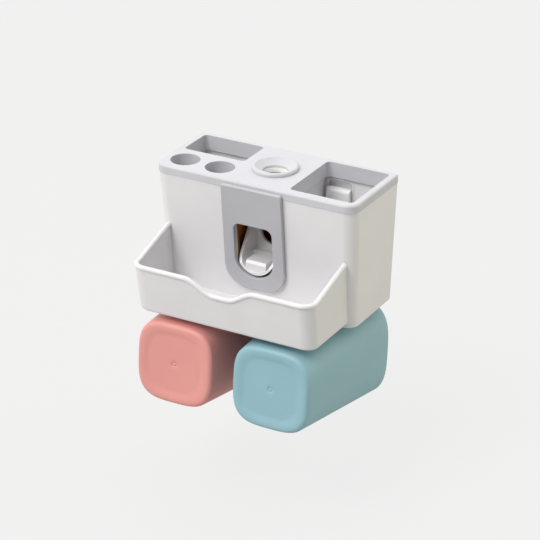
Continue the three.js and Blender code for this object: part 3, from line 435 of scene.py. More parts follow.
def arc(middle_r, middle_z, radius, start, end, steps=8):
    angles = [math.radians(start + (end - start) * i / steps) for i in range(steps + 1)]
    return [(middle_r + radius * math.cos(a), middle_z + radius * math.sin(a)) for a in angles]


def mesh_from(name, points, faces):
    mesh = bpy.data.meshes.new(name)
    mesh.from_pydata([Vector(p) * MM for p in points], [], faces)
    shape = bmesh.new()
    shape.from_mesh(mesh)
    bmesh.ops.remove_doubles(shape, verts=shape.verts, dist=SAME_POINT / 2)
    bmesh.ops.recalc_face_normals(shape, faces=shape.faces)
    shape.to_mesh(mesh)
    shape.free()
    shade(mesh)
    return mesh


def ring_faces(rings, count):
    faces = []
    for low in range(0, (rings - 1) * count, count):
        for i in range(count):
            j = (i + 1) % count
            faces.append((low + i, low + j, low + count + j, low + count + i))
    return faces


def turned(name, section, y, material, body, slot, node):
    points = []
    for radius, height in section:
        for i in range(TURN_STEPS):
            angle = 2 * math.pi * i / TURN_STEPS
            points.append((radius * math.cos(angle), y + radius * math.sin(angle), height))
    mesh = mesh_from(name, points, ring_faces(len(section), TURN_STEPS))
    return new_piece(name, mesh, material, body, slot, node)


print("a quarter arc has", len(arc(0, 0, 1, 0, 90)), "points, a turn", TURN_STEPS)

# %% Inlet ring
FUNNEL_HEIGHT = 3
FUNNEL_DEPTH, FUNNEL_LEDGE, FUNNEL_LENGTH = 1.4, 1.2, 7
COVER_TOP = cad_box[1].z / MM - FUNNEL_HEIGHT
INLET_Y = -39.5


def funnel_section():
    outer, top, hole, sleeve, bore = 16.9, 14.9, 9.2, 12.2, 10.9
    foot_round, crown, shoulder, lip = 0.3, 1.8, 1.2, 0.5
    crest, neck = COVER_TOP + FUNNEL_HEIGHT, COVER_TOP - FUNNEL_DEPTH
    ledge, foot = neck - FUNNEL_LEDGE, COVER_TOP - FUNNEL_LENGTH
    return [
        (bore, foot),
        (sleeve, foot),
        (sleeve, COVER_TOP),
        (outer - foot_round, COVER_TOP),
        *arc(outer - foot_round, COVER_TOP + foot_round, foot_round, -90, 0, 3),
        *arc(outer - crown, crest - crown, crown, 0, 90, 10),
        *arc(top, crest - shoulder, shoulder, 90, 125, 5),
        (hole + 0.6, neck + lip),
        *arc(hole + lip, neck, lip, 120, 180, 5),
        (hole, ledge),
        (bore, ledge),
        (bore, foot),
    ]


turned("inlet_funnel_ring", funnel_section(), INLET_Y,
       cover_moulding, "cover", "grey_plastic", "inlet_funnel")

# %% Seal, valve and nozzle
NOZZLE_AHEAD = 19.4


def foot_and_top(node):
    low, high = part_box(node)
    return low.z / MM, high.z / MM


def seal_section():
    low, high = foot_and_top("inlet_seal")
    outer, hole, wide_hole = 10.6, 8.8, 9.5
    foot_round, top_round, lip = 0.2, 0.4, 1.2
    return [
        (wide_hole, low),
        (outer - foot_round, low),
        *arc(outer - foot_round, low + foot_round, foot_round, -90, 0, 3),
        *arc(outer - top_round, high - top_round, top_round, 0, 90, 4),
        *arc(hole + top_round, high - top_round, top_round, 90, 180, 4),
        (hole, high - lip),
        (wide_hole, low),
    ]


def valve_section():
    low, high = foot_and_top("inlet_valve")
    rim, flat, slit, slit_foot, slit_depth = 5.5, 5, 1.2, 0.8, 0.3
    bulge = 0.8 * (high - low) / 2
    edge = arc(rim, (low + high) / 2, bulge, -80, 80, 6)
    top = [(flat, high), (slit, high), (slit_foot, high - slit_depth), (0, high - slit_depth)]
    return [(0, low), (rim, low), *edge, *top]


def nozzle_section():
    low, high = foot_and_top("paste_nozzle")
    mouth, tip, socket, sleeve = 1.6, 3.5, 4.15, 5.55
    tip_round, step_round, sleeve_round = 0.4, 0.5, 0.3
    sleeve_depth, cone = 3.3, 1.4
    shoulder = high - sleeve_depth
    return [
        (mouth, low),
        *arc(tip - tip_round, low + tip_round, tip_round, -90, 0, 4),
        *arc(sleeve - step_round, shoulder, step_round, -20, 0, 3),
        (sleeve, high - sleeve_round),
        *arc(sleeve - sleeve_round, high - sleeve_round, sleeve_round, 0, 90, 4),
        (socket, high),
        (socket, shoulder),
        (mouth, shoulder - cone),
        (mouth, low),
    ]


turned("inlet_seal_ring", seal_section(), INLET_Y, silicone, "cover", "silicone", "inlet_seal")
turned("inlet_valve_flap", valve_section(), INLET_Y, silicone, "holder", "silicone", "inlet_valve")
nozzle_y = INLET_Y - NOZZLE_AHEAD
turned("paste_nozzle_tip", nozzle_section(), nozzle_y, silicone, "holder", "silicone", "paste_nozzle")

# %% [markdown]
# ## The bellows
# The bellows is the pump: the lever's arm presses it flat, and it springs back. Two soft folds make
# it easy to press.

# %% Bellows
HALF_FOLDS = 4
FOLD_STEPS = 8


def bellows_section():
    low, high = foot_and_top("pump_bellows")
    wide, narrow, wall, collar = 9, 7.3, 1.4, 7.3
    collar_height, chamfer = 2, 0.3
    neck = high - collar_height
    fold = (neck - low) / HALF_FOLDS
    wave = []
    for i in range(HALF_FOLDS * FOLD_STEPS + 1):
        swing = 0.5 - 0.5 * math.cos(math.pi * i / FOLD_STEPS)
        wave.append((narrow + (wide - narrow) * swing, low + fold * i / FOLD_STEPS))
    rim = [(collar + wall, neck + chamfer), (collar + wall, high), (collar, high), (collar, neck)]
    inside = [(r - wall, max(z, low + wall)) for r, z in reversed(wave)]
    return [(0, low), (narrow - chamfer, low), *wave, *rim, *inside, (0, low + wall)]


bellows = turned("pump_bellows_folds", bellows_section(), INLET_Y,
                 silicone, "holder", "silicone", "pump_bellows")
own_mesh(bellows)

# %% [markdown]
# ## The dispenser's panel
# The grey panel snaps on the body's leaning front. Its outline and its window have four rounded
# corners each, so both are drawn by one rule with the same number of points, and rings of it run
# from the hollow back over the rolled rim, across the flat front and into the window. A flat plate
# with a Boolean hole would need many clean-up steps to get the same even roll round the window.

# %% Panel rings
BODY_HEIGHT = 91.9
BODY_RIM_Z = BASE_Z + BODY_HEIGHT
BODY_FRONT_Y = -72.6  # at the rim
FRONT_RUN = 9.5  # the front leans back by this much at the foot
FRONT_TURN = Matrix.Rotation(math.pi / 2 + math.atan2(FRONT_RUN, BODY_HEIGHT), 4, "X")
FRONT_FACE = Matrix.Translation((0, BODY_FRONT_Y, BODY_RIM_Z)) @ FRONT_TURN
PANEL_BACK, PANEL_HOLLOW, PANEL_FRONT = 0.3, 1.7, 3.3  # ahead of the body's front
PANEL_ROLL = 0.7
PANEL_RIM, WINDOW_RIM = 1.3, 1.2
BACK_CHAMFER = 0.2
# Half width, top and foot along the front from the body's rim, rounding at the top and at the foot
PANEL_OUTLINE = (24, 3.6, -76.7, 1.8, 17)
WINDOW_OUTLINE = (15.3, -25.5, -67.3, 5, 15.3)
CORNER_STEPS = 18
ROLL_STEPS = 6


def plate_ring(outline, inset, depth):
    half, top, foot, top_round, foot_round = outline
    half, top, foot = half - inset, top - inset, foot + inset
    top_round, foot_round = top_round - inset, foot_round - inset
    corners = [
        (half - top_round, top - top_round, top_round, 0),
        (top_round - half, top - top_round, top_round, 90),
        (foot_round - half, foot + foot_round, foot_round, 180),
        (half - foot_round, foot + foot_round, foot_round, 270),
    ]
    places = [p for u, v, r, start in corners for p in arc(u, v, r, start, start + 90, CORNER_STEPS)]
    return [(u, v, depth) for u, v in places]


def panel_rings():
    rim = [(PANEL_RIM, PANEL_HOLLOW), (PANEL_RIM, PANEL_BACK)]
    rim += [(BACK_CHAMFER, PANEL_BACK), (0, PANEL_BACK + BACK_CHAMFER)]
    rim += arc(PANEL_ROLL, PANEL_FRONT - PANEL_ROLL, PANEL_ROLL, 180, 90, ROLL_STEPS)
    window = arc(PANEL_ROLL, PANEL_FRONT - PANEL_ROLL, PANEL_ROLL, 90, 180, ROLL_STEPS)
    window += [(0, PANEL_BACK), (WINDOW_RIM, PANEL_BACK), (WINDOW_RIM, PANEL_HOLLOW)]
    rings = [plate_ring(PANEL_OUTLINE, inset, depth) for inset, depth in rim]
    return rings + [plate_ring(WINDOW_OUTLINE, -out, depth) for out, depth in window]


print("panel rings", len(panel_rings()), "of", len(panel_rings()[0]), "points")

# %% Panel
TAB_FEET = (-24.6, -69.6)
TAB_HALF, TAB_THICKNESS, TAB_REACH = 8, 1.4, 2.8
TAB_ROOT = 0.3
BLOCK_SIDES = ((3, 2, 1, 0), (4, 5, 6, 7), (0, 1, 5, 4), (1, 2, 6, 5), (2, 3, 7, 6), (3, 0, 4, 7))


def add_block(points, faces, low, high):
    start = len(points)
    (x, y, foot), (far_x, far_y, top) = low, high
    for z in (foot, top):
        points += [(x, y, z), (far_x, y, z), (far_x, far_y, z), (x, far_y, z)]
    faces += [tuple(start + i for i in side) for side in BLOCK_SIDES]


def make_panel():
    rings = panel_rings()
    count = len(rings[0])
    points = [p for ring in rings for p in ring]
    faces = ring_faces(len(rings), count)
    last = (len(rings) - 1) * count
    faces += [(last + i, last + (i + 1) % count, (i + 1) % count, i) for i in range(count)]
    for foot in TAB_FEET:
        inner = (-TAB_HALF, foot, -TAB_REACH)
        add_block(points, faces, inner, (TAB_HALF, foot + TAB_THICKNESS, PANEL_HOLLOW + TAB_ROOT))
    name = "dispenser_panel_plate"
    mesh = mesh_from(name, [FRONT_FACE @ Vector(p) for p in points], faces)
    piece = new_piece(name, mesh, panel_moulding, "holder", "grey_plastic", "dispenser_panel")
    even_normals(piece)


make_panel()

# %% [markdown]
# ## The cups
# Each cup is a square with bowed sides and soft corners that widens towards its mouth. A subdivided
# cube would come close, but its outline could not be set, so rings of a superellipse are stacked
# along the axis: across the hollow base, round the base's edge, up the wall, over the lip and down
# the inside. The base is dished a little, so that the cup stands on its rim, and carries the small
# gate mark that the moulding leaves in its middle.

# %% Cup rings
CUP_STEPS = 128
CUP_LENGTH = 109
CUP_BASE_HALF = 30.3
CUP_SPREAD = 7.9
CUP_SQUARENESS = 3.4
CUP_SQUARE_FROM = 6  # rings that lie deeper than this in the base grow rounder


def bowed_square(half, power):
    outline = []
    for i in range(CUP_STEPS):
        angle = 2 * math.pi * i / CUP_STEPS
        across, along = math.cos(angle), math.sin(angle)
        reach = half / (abs(across) ** power + abs(along) ** power) ** (1 / power)
        outline.append((reach * across, reach * along))
    return outline


def cup_ring(inset, z):
    grow = 1 + CUP_SPREAD * z / (CUP_BASE_HALF * CUP_LENGTH)
    half = CUP_BASE_HALF - inset
    power = 2 + (CUP_SQUARENESS - 2) * min(1, half / (CUP_BASE_HALF - CUP_SQUARE_FROM))
    return [(x * grow, y * grow, z) for x, y in bowed_square(half, power)]


print("cup's mouth", round(2 * (CUP_BASE_HALF + CUP_SPREAD), 1), "mm across")

# %% Cup section
CUP_WALL, CUP_FLOOR = 2, 2.6
CUP_EDGE, CUP_INNER_EDGE = 3, 2.5
CUP_DISH = 1.0
DISH_START, DISH_RUN = 4, 6  # where the base's dish starts inside its edge, and its slope's length
GATE_MARK = [  # radius and depth, from the middle of the base outwards
    (0.1, 1.1), (0.5, 1.12), (0.9, 1.2), (1.2, 1.38), (1.5, 1.46), (1.8, 1.38), (2.1, 1.12), (2.4, 1.0)]


def dish_depth(inset):
    return CUP_DISH * (0.5 - 0.5 * math.cos(math.pi * (inset - DISH_START) / DISH_RUN))


def cup_profile():
    lip = CUP_WALL / 2
    inner_foot = CUP_FLOOR + CUP_INNER_EDGE
    profile = [(CUP_BASE_HALF - radius, depth) for radius, depth in GATE_MARK]
    profile += [(inset, CUP_DISH) for inset in (25, 20, 15, 11)]
    profile += [(DISH_START + i, dish_depth(DISH_START + i)) for i in range(DISH_RUN, -1, -1)]
    profile += arc(CUP_EDGE, CUP_EDGE, CUP_EDGE, 270, 180, 10)
    profile += [(0, z) for z in (8, 16, 28, 40, 56, 72, 88, 100)]
    profile += arc(lip, CUP_LENGTH - lip, lip, 180, 0, 9)
    profile += [(CUP_WALL, z) for z in (100, 84, 66, 48, 30, 16)]
    profile += arc(CUP_WALL + CUP_INNER_EDGE, inner_foot, CUP_INNER_EDGE, 180, 270, 6)
    profile += [(inset, CUP_FLOOR) for inset in (10, 18, 26, CUP_BASE_HALF - 0.4)]
    return profile


print("rings in a cup", len(cup_profile()))

# %% Cups in place
CUP_X = 39
CUP_MOUTH_Y = -5.45
CUP_BELOW_BODY = 2.6
CUP_DIP = math.atan2(CUP_SPREAD, CUP_LENGTH)


def cup_place(x):
    hung = Matrix.Translation((x, CUP_MOUTH_Y, BASE_Z - CUP_BELOW_BODY))
    dipped = Matrix.Rotation(-CUP_DIP, 4, "X")
    laid = Matrix.Translation((0, -CUP_LENGTH, -CUP_BASE_HALF - CUP_SPREAD))
    return hung @ dipped @ laid @ Matrix.Rotation(-math.pi / 2, 4, "X")


def make_cup(name, x, material, body, slot, node):
    rings = [cup_ring(inset, z) for inset, z in cup_profile()]
    place = cup_place(x)
    points = [place @ Vector(p) for ring in rings for p in ring]
    faces = ring_faces(len(rings), CUP_STEPS)
    faces.append(tuple(reversed(range(CUP_STEPS))))
    faces.append(tuple(range(len(points) - CUP_STEPS, len(points))))
    new_piece(name, mesh_from(name, points, faces), material, body, slot, node)


make_cup("pink_cup", -CUP_X, pink_moulding, "cup_left_body", "pink_plastic", "cup_left")
make_cup("blue_cup", CUP_X, blue_moulding, "cup_right_body", "blue_plastic", "cup_right")

# %% [markdown]
# ## The front tray
# The tray is one moulding: a floor with a rolled outer edge, a wall that climbs to the body at the
# sides and dips in the middle of the front, and a round bead along the wall's rim. The wall is a
# grid, one column for each point of a U-shaped path, so the dip and the climb stay smooth. The bead
# follows that same path, which is what Geometry Nodes' Curve to Mesh is for.

# %% Tray places
TRAY_HALF = 71.8
TRAY_FRONT_Y = -120.3
TRAY_REAR_Y = -60.7
BODY_WALL = BODY_FLOOR = 2.4
SEAT_GAP = 0.3  # between the body's floor and the lugs that lie on it
TRAY_FOOT = BASE_Z + BODY_FLOOR + SEAT_GAP
TRAY_HEIGHT = 36.3
TRAY_RIM = TRAY_FOOT + TRAY_HEIGHT
TRAY_CORNER = 10
TRAY_CLIMB = 15  # the side rims rise by this much to the body
SIDE_LEAN, FRONT_LEAN = 0.6, 6.3
DIP_DEPTH = 9.9
DIP_WIDTH = 57
DIP_LEVEL = 10
BODY_HALF, BODY_CORNER, SIDE_RUN = 79.7, 9.5, 3.8
BODY_GAP = 0.1


def body_front(x, z):
    drop = (BODY_RIM_Z - z) / BODY_HEIGHT
    half = BODY_HALF + BODY_GAP - SIDE_RUN * drop
    radius = BODY_CORNER + BODY_GAP
    y = BODY_FRONT_Y - BODY_GAP + FRONT_RUN * drop
    over = max(0, abs(x) - (half - radius))
    return y + radius - math.sqrt(radius * radius - over * over)


def rim_height(x, y, on_front):
    start = TRAY_FRONT_Y + TRAY_CORNER
    climb = TRAY_CLIMB * max(0, y - start) / (TRAY_REAR_Y - start)
    slope = (DIP_WIDTH - DIP_LEVEL) / 2
    up = min(max((abs(x) - DIP_LEVEL / 2) / slope, 0), 1) if on_front else 1
    return TRAY_RIM + climb - DIP_DEPTH * (0.5 + 0.5 * math.cos(math.pi * up))


def leaned(x, y, z):
    drop = (TRAY_RIM - z) / TRAY_HEIGHT
    narrow = 1 - SIDE_LEAN * drop / TRAY_HALF
    short = 1 - FRONT_LEAN * drop / (TRAY_REAR_Y - TRAY_FRONT_Y)
    return x * narrow, TRAY_REAR_Y + (y - TRAY_REAR_Y) * short, z


print("dip's foot", round(rim_height(0, TRAY_FRONT_Y, True) - TRAY_FOOT, 1), "mm above the tray's foot")

# %% Tray columns
SIDE_COLUMNS = 24
BEND_COLUMNS = 16
FRONT_COLUMNS = 108
TRAY_WALL = 2
SIDE_RIM_REAR_Y = -69  # where the side rims meet the body


def tray_path():
    path = [("side", i / SIDE_COLUMNS) for i in range(SIDE_COLUMNS)]
    path += [("bend", i / BEND_COLUMNS) for i in range(BEND_COLUMNS)]
    path += [("front", i / FRONT_COLUMNS) for i in range(FRONT_COLUMNS + 1)]
    mirrored = [share for share in reversed(path) if share[0] != "front"]
    return [(share, 1) for share in path] + [(share, -1) for share in mirrored]


def tray_column(share, inset, rear):
    """Where an upright line of the wall stands, by its place along the left half of the path."""
    half, near, radius = TRAY_HALF - inset, TRAY_FRONT_Y + inset, TRAY_CORNER - inset
    kind, along = share
    if kind == "side":
        return -half, rear + (near + radius - rear) * along
    if kind == "bend":
        angle = math.pi * (1 + along / 2)
        return -half + radius + radius * math.cos(angle), near + radius + radius * math.sin(angle)
    return -half + radius + 2 * (half - radius) * along, near


def tray_point(share, side, inset, z):
    x, y, z = leaned(*tray_column(share, inset, TRAY_REAR_Y), z)
    if share[0] == "side":
        rear = body_front(x, z)
        front_end = leaned(0, TRAY_FRONT_Y + TRAY_CORNER, z)[1]
        y = rear + (front_end - rear) * share[1]
    return side * x, y, z


def column_top(share):
    middle = TRAY_WALL / 2
    x, y = tray_column(share, middle, SIDE_RIM_REAR_Y)
    return rim_height(x, y - middle, share[0] == "front")


print("columns in the tray's wall", len(tray_path()))

# %% Tray mesh
TRAY_FLOOR = 1.8
TRAY_EDGE, TRAY_FILLET = 2.5, 1.6
WALL_STEPS = 14
LUG_MIDDLES = (-45, 45)
LUG_HALF, LUG_HEIGHT, LUG_ROOT = 7, 1.4, 4


def wall_levels(foot, fillet, top):
    """Inset and height of each point in a column, from the fillet at its foot up to the rim."""
    low = foot + fillet
    rise = [(0, low + (top - low) * i / WALL_STEPS) for i in range(1, WALL_STEPS + 1)]
    return arc(fillet, low, fillet, 270, 180, 6) + rise


def tray_sheet(inset, foot, fillet):
    columns = []
    for share, side in tray_path():
        levels = wall_levels(foot, fillet, column_top(share))
        columns.append([tray_point(share, side, inset + extra, z) for extra, z in levels])
    return columns


def tray_moulding():
    outer = tray_sheet(0, TRAY_FOOT, TRAY_EDGE)
    inner = tray_sheet(TRAY_WALL, TRAY_FOOT + TRAY_FLOOR, TRAY_FILLET)
    points = [p for column in outer + inner for p in column]
    rows, count = len(outer[0]), len(outer)
    out = [[c * rows + r for r in range(rows)] for c in range(count)]
    back = [[i + count * rows for i in column] for column in out]
    faces = []
    for sheet in (out, back):
        for a, b in zip(sheet, sheet[1:]):
            faces += [(a[r], b[r], b[r + 1], a[r + 1]) for r in range(rows - 1)]
    faces += [(out[c][-1], out[c + 1][-1], back[c + 1][-1], back[c][-1]) for c in range(count - 1)]
    faces.append(tuple(column[0] for column in out))
    faces.append(tuple(column[0] for column in reversed(back)))
    faces.append((*out[0], *reversed(back[0]), *back[-1], *reversed(out[-1])))
    for middle in LUG_MIDDLES:
        face = body_front(middle, BASE_Z + BODY_FLOOR) + BODY_GAP
        low = (middle - LUG_HALF, face - LUG_ROOT, TRAY_FOOT)
        add_block(points, faces, low, (middle + LUG_HALF, face + BODY_WALL, TRAY_FOOT + LUG_HEIGHT))
    return mesh_from("front_tray_moulding", points, faces)


tray_mesh = tray_moulding()
print("tray without its bead, faces", len(tray_mesh.polygons))

# %% [markdown]
# ## The tray's bead
# The wall ends in a round bead that stiffens the rim and is kind to the hand. A curve with a bevel
# would do, but a node tree keeps the bead's radius and its number of sides as named inputs. The
# tree runs on a bare line of points, and its result is taken over as a plain mesh.

# %% Node tree helpers
def node_tree(name, inputs):
    tree = bpy.data.node_groups.new(name, "GeometryNodeTree")
    tree.interface.new_socket("Geometry", in_out="INPUT", socket_type="NodeSocketGeometry")
    sockets = {}
    for label, kind in inputs:
        socket = tree.interface.new_socket(label, in_out="INPUT", socket_type="NodeSocket" + kind)
        sockets[label] = socket.identifier
    tree.interface.new_socket("Geometry", in_out="OUTPUT", socket_type="NodeSocketGeometry")
    tree.is_modifier = True
    return tree, sockets, tree.nodes.new("NodeGroupInput"), tree.nodes.new("NodeGroupOutput")


def close_tree(tree, made, given, result):
    realize = tree.nodes.new("GeometryNodeRealizeInstances")
    paint = tree.nodes.new("GeometryNodeSetMaterial")
    tree.links.new(made, realize.inputs["Geometry"])
    tree.links.new(realize.outputs["Geometry"], paint.inputs["Geometry"])
    tree.links.new(given.outputs["Material"], paint.inputs["Material"])
    tree.links.new(paint.outputs["Geometry"], result.inputs["Geometry"])


def grown(name, points, edges, tree, values, facing=None):
    """Runs a node tree on a few points and gives back the plain mesh that it made."""
    seed = bpy.data.meshes.new(name + "_seed")
    seed.from_pydata([Vector(p) * MM for p in points], edges, [])
    if facing:
        layer = seed.attributes.new("facing", "FLOAT_VECTOR", "POINT")
        for item in layer.data:
            item.vector = facing
    carrier = bpy.data.objects.new(name + "_seed", seed)
    bpy.context.scene.collection.objects.link(carrier)
    modifier = carrier.modifiers.new(name, "NODES")
    modifier.node_group = tree
    for identifier, value in values:
        modifier[identifier] = value
    graph = bpy.context.evaluated_depsgraph_get()
    mesh = bpy.data.meshes.new_from_object(carrier.evaluated_get(graph), depsgraph=graph)
    carrier.modifiers.clear()
    bpy.data.objects.remove(carrier)
    mesh.name = name
    return mesh


# %% Rim bead
BEAD_RADIUS = 1.9
BEAD_SIDES = 28


def bead_tree():
    tree, sockets, given, result = node_tree(
        "rim_bead", [("Radius", "Float"), ("Sides", "Int"), ("Material", "Material")])
    path = tree.nodes.new("GeometryNodeMeshToCurve")
    round_bar = tree.nodes.new("GeometryNodeCurvePrimitiveCircle")
    sweep = tree.nodes.new("GeometryNodeCurveToMesh")
    tree.links.new(given.outputs["Geometry"], path.inputs["Mesh"])
    tree.links.new(given.outputs["Radius"], round_bar.inputs["Radius"])
    tree.links.new(given.outputs["Sides"], round_bar.inputs["Resolution"])
    tree.links.new(path.outputs["Curve"], sweep.inputs["Curve"])
    tree.links.new(round_bar.outputs["Curve"], sweep.inputs["Profile Curve"])
    sweep.inputs["Fill Caps"].default_value = True
    close_tree(tree, sweep.outputs["Mesh"], given, result)
    return tree, sockets


def make_bead():
    tree, sockets = bead_tree()
    line = [tray_point(share, side, TRAY_WALL / 2, column_top(share)) for share, side in tray_path()]
    edges = [(i, i + 1) for i in range(len(line) - 1)]
    values = {"Radius": BEAD_RADIUS * MM, "Sides": BEAD_SIDES, "Material": white_moulding}
    return grown("rim_bead", line, edges, tree, [(sockets[k], v) for k, v in values.items()])


bead = make_bead()
print("bead faces", len(bead.polygons))

# %% Tray with its bead
def joined(name, *meshes):
    whole = bmesh.new()
    for mesh in meshes:
        whole.from_mesh(mesh)
    mesh = bpy.data.meshes.new(name)
    whole.to_mesh(mesh)
    whole.free()
    shade(mesh)
    return mesh


whole = joined("front_tray", tray_mesh, bead)
tray = new_piece("front_tray_moulding", whole, white_moulding, "holder", "white_plastic", "front_tray")
even_normals(tray)

# %% [markdown]
# ## The screws
# Eight small pan-head screws hold the dispenser's housing and the cup hangers. They are all alike,
# so one screw is built in a node tree, with its cross recess cut by a Boolean, and set on a handful
# of points. Each point carries the direction that its head faces.

# %% Screw tree helpers
CROSS_LENGTH, CROSS_WIDTH = 1.15, 0.26  # shares of the head's radius


def scaled(tree, source, factor):
    node = tree.nodes.new("ShaderNodeMath")
    node.operation = "MULTIPLY"
    node.inputs[1].default_value = factor
    tree.links.new(source, node.inputs[0])
    return node.outputs["Value"]


def raised(tree, mesh, height):
    place = tree.nodes.new("ShaderNodeCombineXYZ")
    tree.links.new(height, place.inputs["Z"])
    move = tree.nodes.new("GeometryNodeTransform")
    tree.links.new(mesh, move.inputs["Geometry"])
    tree.links.new(place.outputs["Vector"], move.inputs["Translation"])
    return move.outputs["Geometry"]


def round_bar(tree, low, high, length, sides):
    node = tree.nodes.new("GeometryNodeMeshCone")
    node.inputs["Vertices"].default_value = sides
    node.inputs["Side Segments"].default_value = 2
    tree.links.new(high, node.inputs["Radius Top"])
    tree.links.new(low, node.inputs["Radius Bottom"])
    tree.links.new(length, node.inputs["Depth"])
    return node.outputs["Mesh"]


def cross_bars(tree, radius, height):
    """Two long bars that stand crosswise in the top of a head, to be cut out of it."""
    cross = tree.nodes.new("GeometryNodeJoinGeometry")
    for along, across in (("X", "Y"), ("Y", "X")):
        size = tree.nodes.new("ShaderNodeCombineXYZ")
        tree.links.new(scaled(tree, radius, CROSS_LENGTH), size.inputs[along])
        tree.links.new(scaled(tree, radius, CROSS_WIDTH), size.inputs[across])
        tree.links.new(height, size.inputs["Z"])
        bar = tree.nodes.new("GeometryNodeMeshCube")
        tree.links.new(size.outputs["Vector"], bar.inputs["Size"])
        tree.links.new(raised(tree, bar.outputs["Mesh"], height), cross.inputs["Geometry"])
    return cross.outputs["Geometry"]


# %% Screw tree
HEAD_TAPER, SHANK_TAPER = 0.86, 0.8
HEAD_SIDES, SHANK_SIDES = 32, 20


def screw_tree():
    tree, sockets, given, result = node_tree(
        "pan_head_screws",
        [("Head radius", "Float"), ("Head height", "Float"), ("Shank radius", "Float"),
         ("Shank length", "Float"), ("Material", "Material")])
    link = tree.links.new
    radius, height = given.outputs["Head radius"], given.outputs["Head height"]
    thin, length = given.outputs["Shank radius"], given.outputs["Shank length"]
    head = round_bar(tree, radius, scaled(tree, radius, HEAD_TAPER), height, HEAD_SIDES)
    shank = round_bar(tree, scaled(tree, thin, SHANK_TAPER), thin, length, SHANK_SIDES)
    slot_cut = tree.nodes.new("GeometryNodeMeshBoolean")
    slot_cut.operation = "DIFFERENCE"
    link(head, slot_cut.inputs["Mesh 1"])
    link(cross_bars(tree, radius, height), slot_cut.inputs["Mesh 2"])
    whole = tree.nodes.new("GeometryNodeJoinGeometry")
    link(slot_cut.outputs["Mesh"], whole.inputs["Geometry"])
    link(raised(tree, shank, scaled(tree, length, -1)), whole.inputs["Geometry"])
    facing = tree.nodes.new("GeometryNodeInputNamedAttribute")
    facing.data_type = "FLOAT_VECTOR"
    facing.inputs["Name"].default_value = "facing"
    turn = tree.nodes.new("FunctionNodeAlignRotationToVector")
    turn.axis = "Z"
    link(facing.outputs["Attribute"], turn.inputs["Vector"])
    placed = tree.nodes.new("GeometryNodeInstanceOnPoints")
    link(given.outputs["Geometry"], placed.inputs["Points"])
    link(whole.outputs["Geometry"], placed.inputs["Instance"])
    link(turn.outputs["Rotation"], placed.inputs["Rotation"])
    close_tree(tree, placed.outputs["Instances"], given, result)
    return tree, sockets


screw_nodes, screw_sockets = screw_tree()
print("nodes in the screws' tree", len(screw_nodes.nodes))

# %% Screws in place
HEAD_RADIUS, HEAD_HEIGHT, SHANK_RADIUS = 2.6, 1.3, 1.3
HOUSING_SHANK, HANGER_SHANK = 4.9, 3.1
HOUSING_SCREW_X = 18.1
HOUSING_SCREW_DROPS = (-17, -65)  # along the leaning front, from the body's rim
HANGER_SCREW_Y = (-40.65, -12.65)
HANGER_FLANGE = 2.3


def screw_set(name, seats, facing, shank, nodes):
    values = {"Head radius": HEAD_RADIUS * MM, "Head height": HEAD_HEIGHT * MM,
              "Shank radius": SHANK_RADIUS * MM, "Shank length": shank * MM, "Material": steel}
    inputs = [(screw_sockets[k], v) for k, v in values.items()]
    mesh = grown(name, seats, [], screw_nodes, inputs, facing)
    shade(mesh)
    new_piece(name, mesh, steel, "holder", "steel", *nodes)


outward = FRONT_FACE.to_3x3() @ Vector((0, 0, 1))
housing_seats = [FRONT_FACE @ Vector((x, drop, 0))
                 for x in (-HOUSING_SCREW_X, HOUSING_SCREW_X) for drop in HOUSING_SCREW_DROPS]
housing_nodes = [f"housing_screw_{i}" for i in range(1, 5)]
screw_set("housing_screws", housing_seats, outward, HOUSING_SHANK, housing_nodes)
hanger_z = BASE_Z - HANGER_FLANGE + HEAD_HEIGHT
hanger_seats = [(x, y, hanger_z) for x in (-CUP_X, CUP_X) for y in HANGER_SCREW_Y]
hanger_nodes = [f"cup_hanger_{side}_screw_{i}" for side in ("left", "right") for i in (1, 2)]
screw_set("hanger_screws", hanger_seats, Vector((0, 0, -1)), HANGER_SHANK, hanger_nodes)

# %% [markdown]
# ## Floor and light
# The photograph is a catalogue picture: soft light, mostly from above, some from the front and some
# warm light from the right, on a pale ground. A sky gives the even light. It is brightest overhead,
# which lights the bins down to their floors, and fades out towards the right front, which is why the
# corner there is the darkest part of the body. A broad sun, a softbox and a warm fill give the rest.
# The floor lies below the cups and keeps their shadow.

# %% Floor
FLOOR_DROP = 60
FLOOR_HALF = 6.0
FLOOR_SPECKLE = 300
FLOOR_GLOW = 1.05
GLOW_SHARE = 0.85  # the rest is real light and shadow
BACKDROP = srgb(241, 241, 241)


def floor_finish():
    finish = Finish("pale_floor")
    speckle = finish.spread(finish.noise(FLOOR_SPECKLE, 3), 0, 1)
    finish.feed(Roughness=0.9, Base_Color=finish.mix(speckle, srgb(180, 179, 177), srgb(183, 182, 180)))
    glow = finish.nodes.new("ShaderNodeEmission")
    glow.inputs["Color"].default_value = BACKDROP
    glow.inputs["Strength"].default_value = FLOOR_GLOW
    rays = finish.nodes.new("ShaderNodeLightPath")
    share = finish.nodes.new("ShaderNodeMath")
    share.operation = "MULTIPLY"
    share.inputs[1].default_value = GLOW_SHARE
    finish.join(rays.outputs["Is Camera Ray"], share.inputs[0])
    blend = finish.nodes.new("ShaderNodeMixShader")
    finish.join(share.outputs["Value"], blend.inputs["Fac"])
    finish.join(finish.shader.outputs["BSDF"], blend.inputs[1])
    finish.join(glow.outputs["Emission"], blend.inputs[2])
    finish.join(blend.outputs["Shader"], finish.nodes["Material Output"].inputs["Surface"])
    return finish.material


def make_floor():
    far, z = FLOOR_HALF, cad_box[0].z - FLOOR_DROP * MM
    mesh = bpy.data.meshes.new("floor")
    corners = [(-far, -far, z), (far, -far, z), (far, far, z), (-far, far, z)]
    mesh.from_pydata(corners, [], [(0, 1, 2, 3)])
    mesh.materials.append(floor_finish())
    floor = bpy.data.objects.new("floor", mesh)
    bpy.context.scene.collection.objects.link(floor)


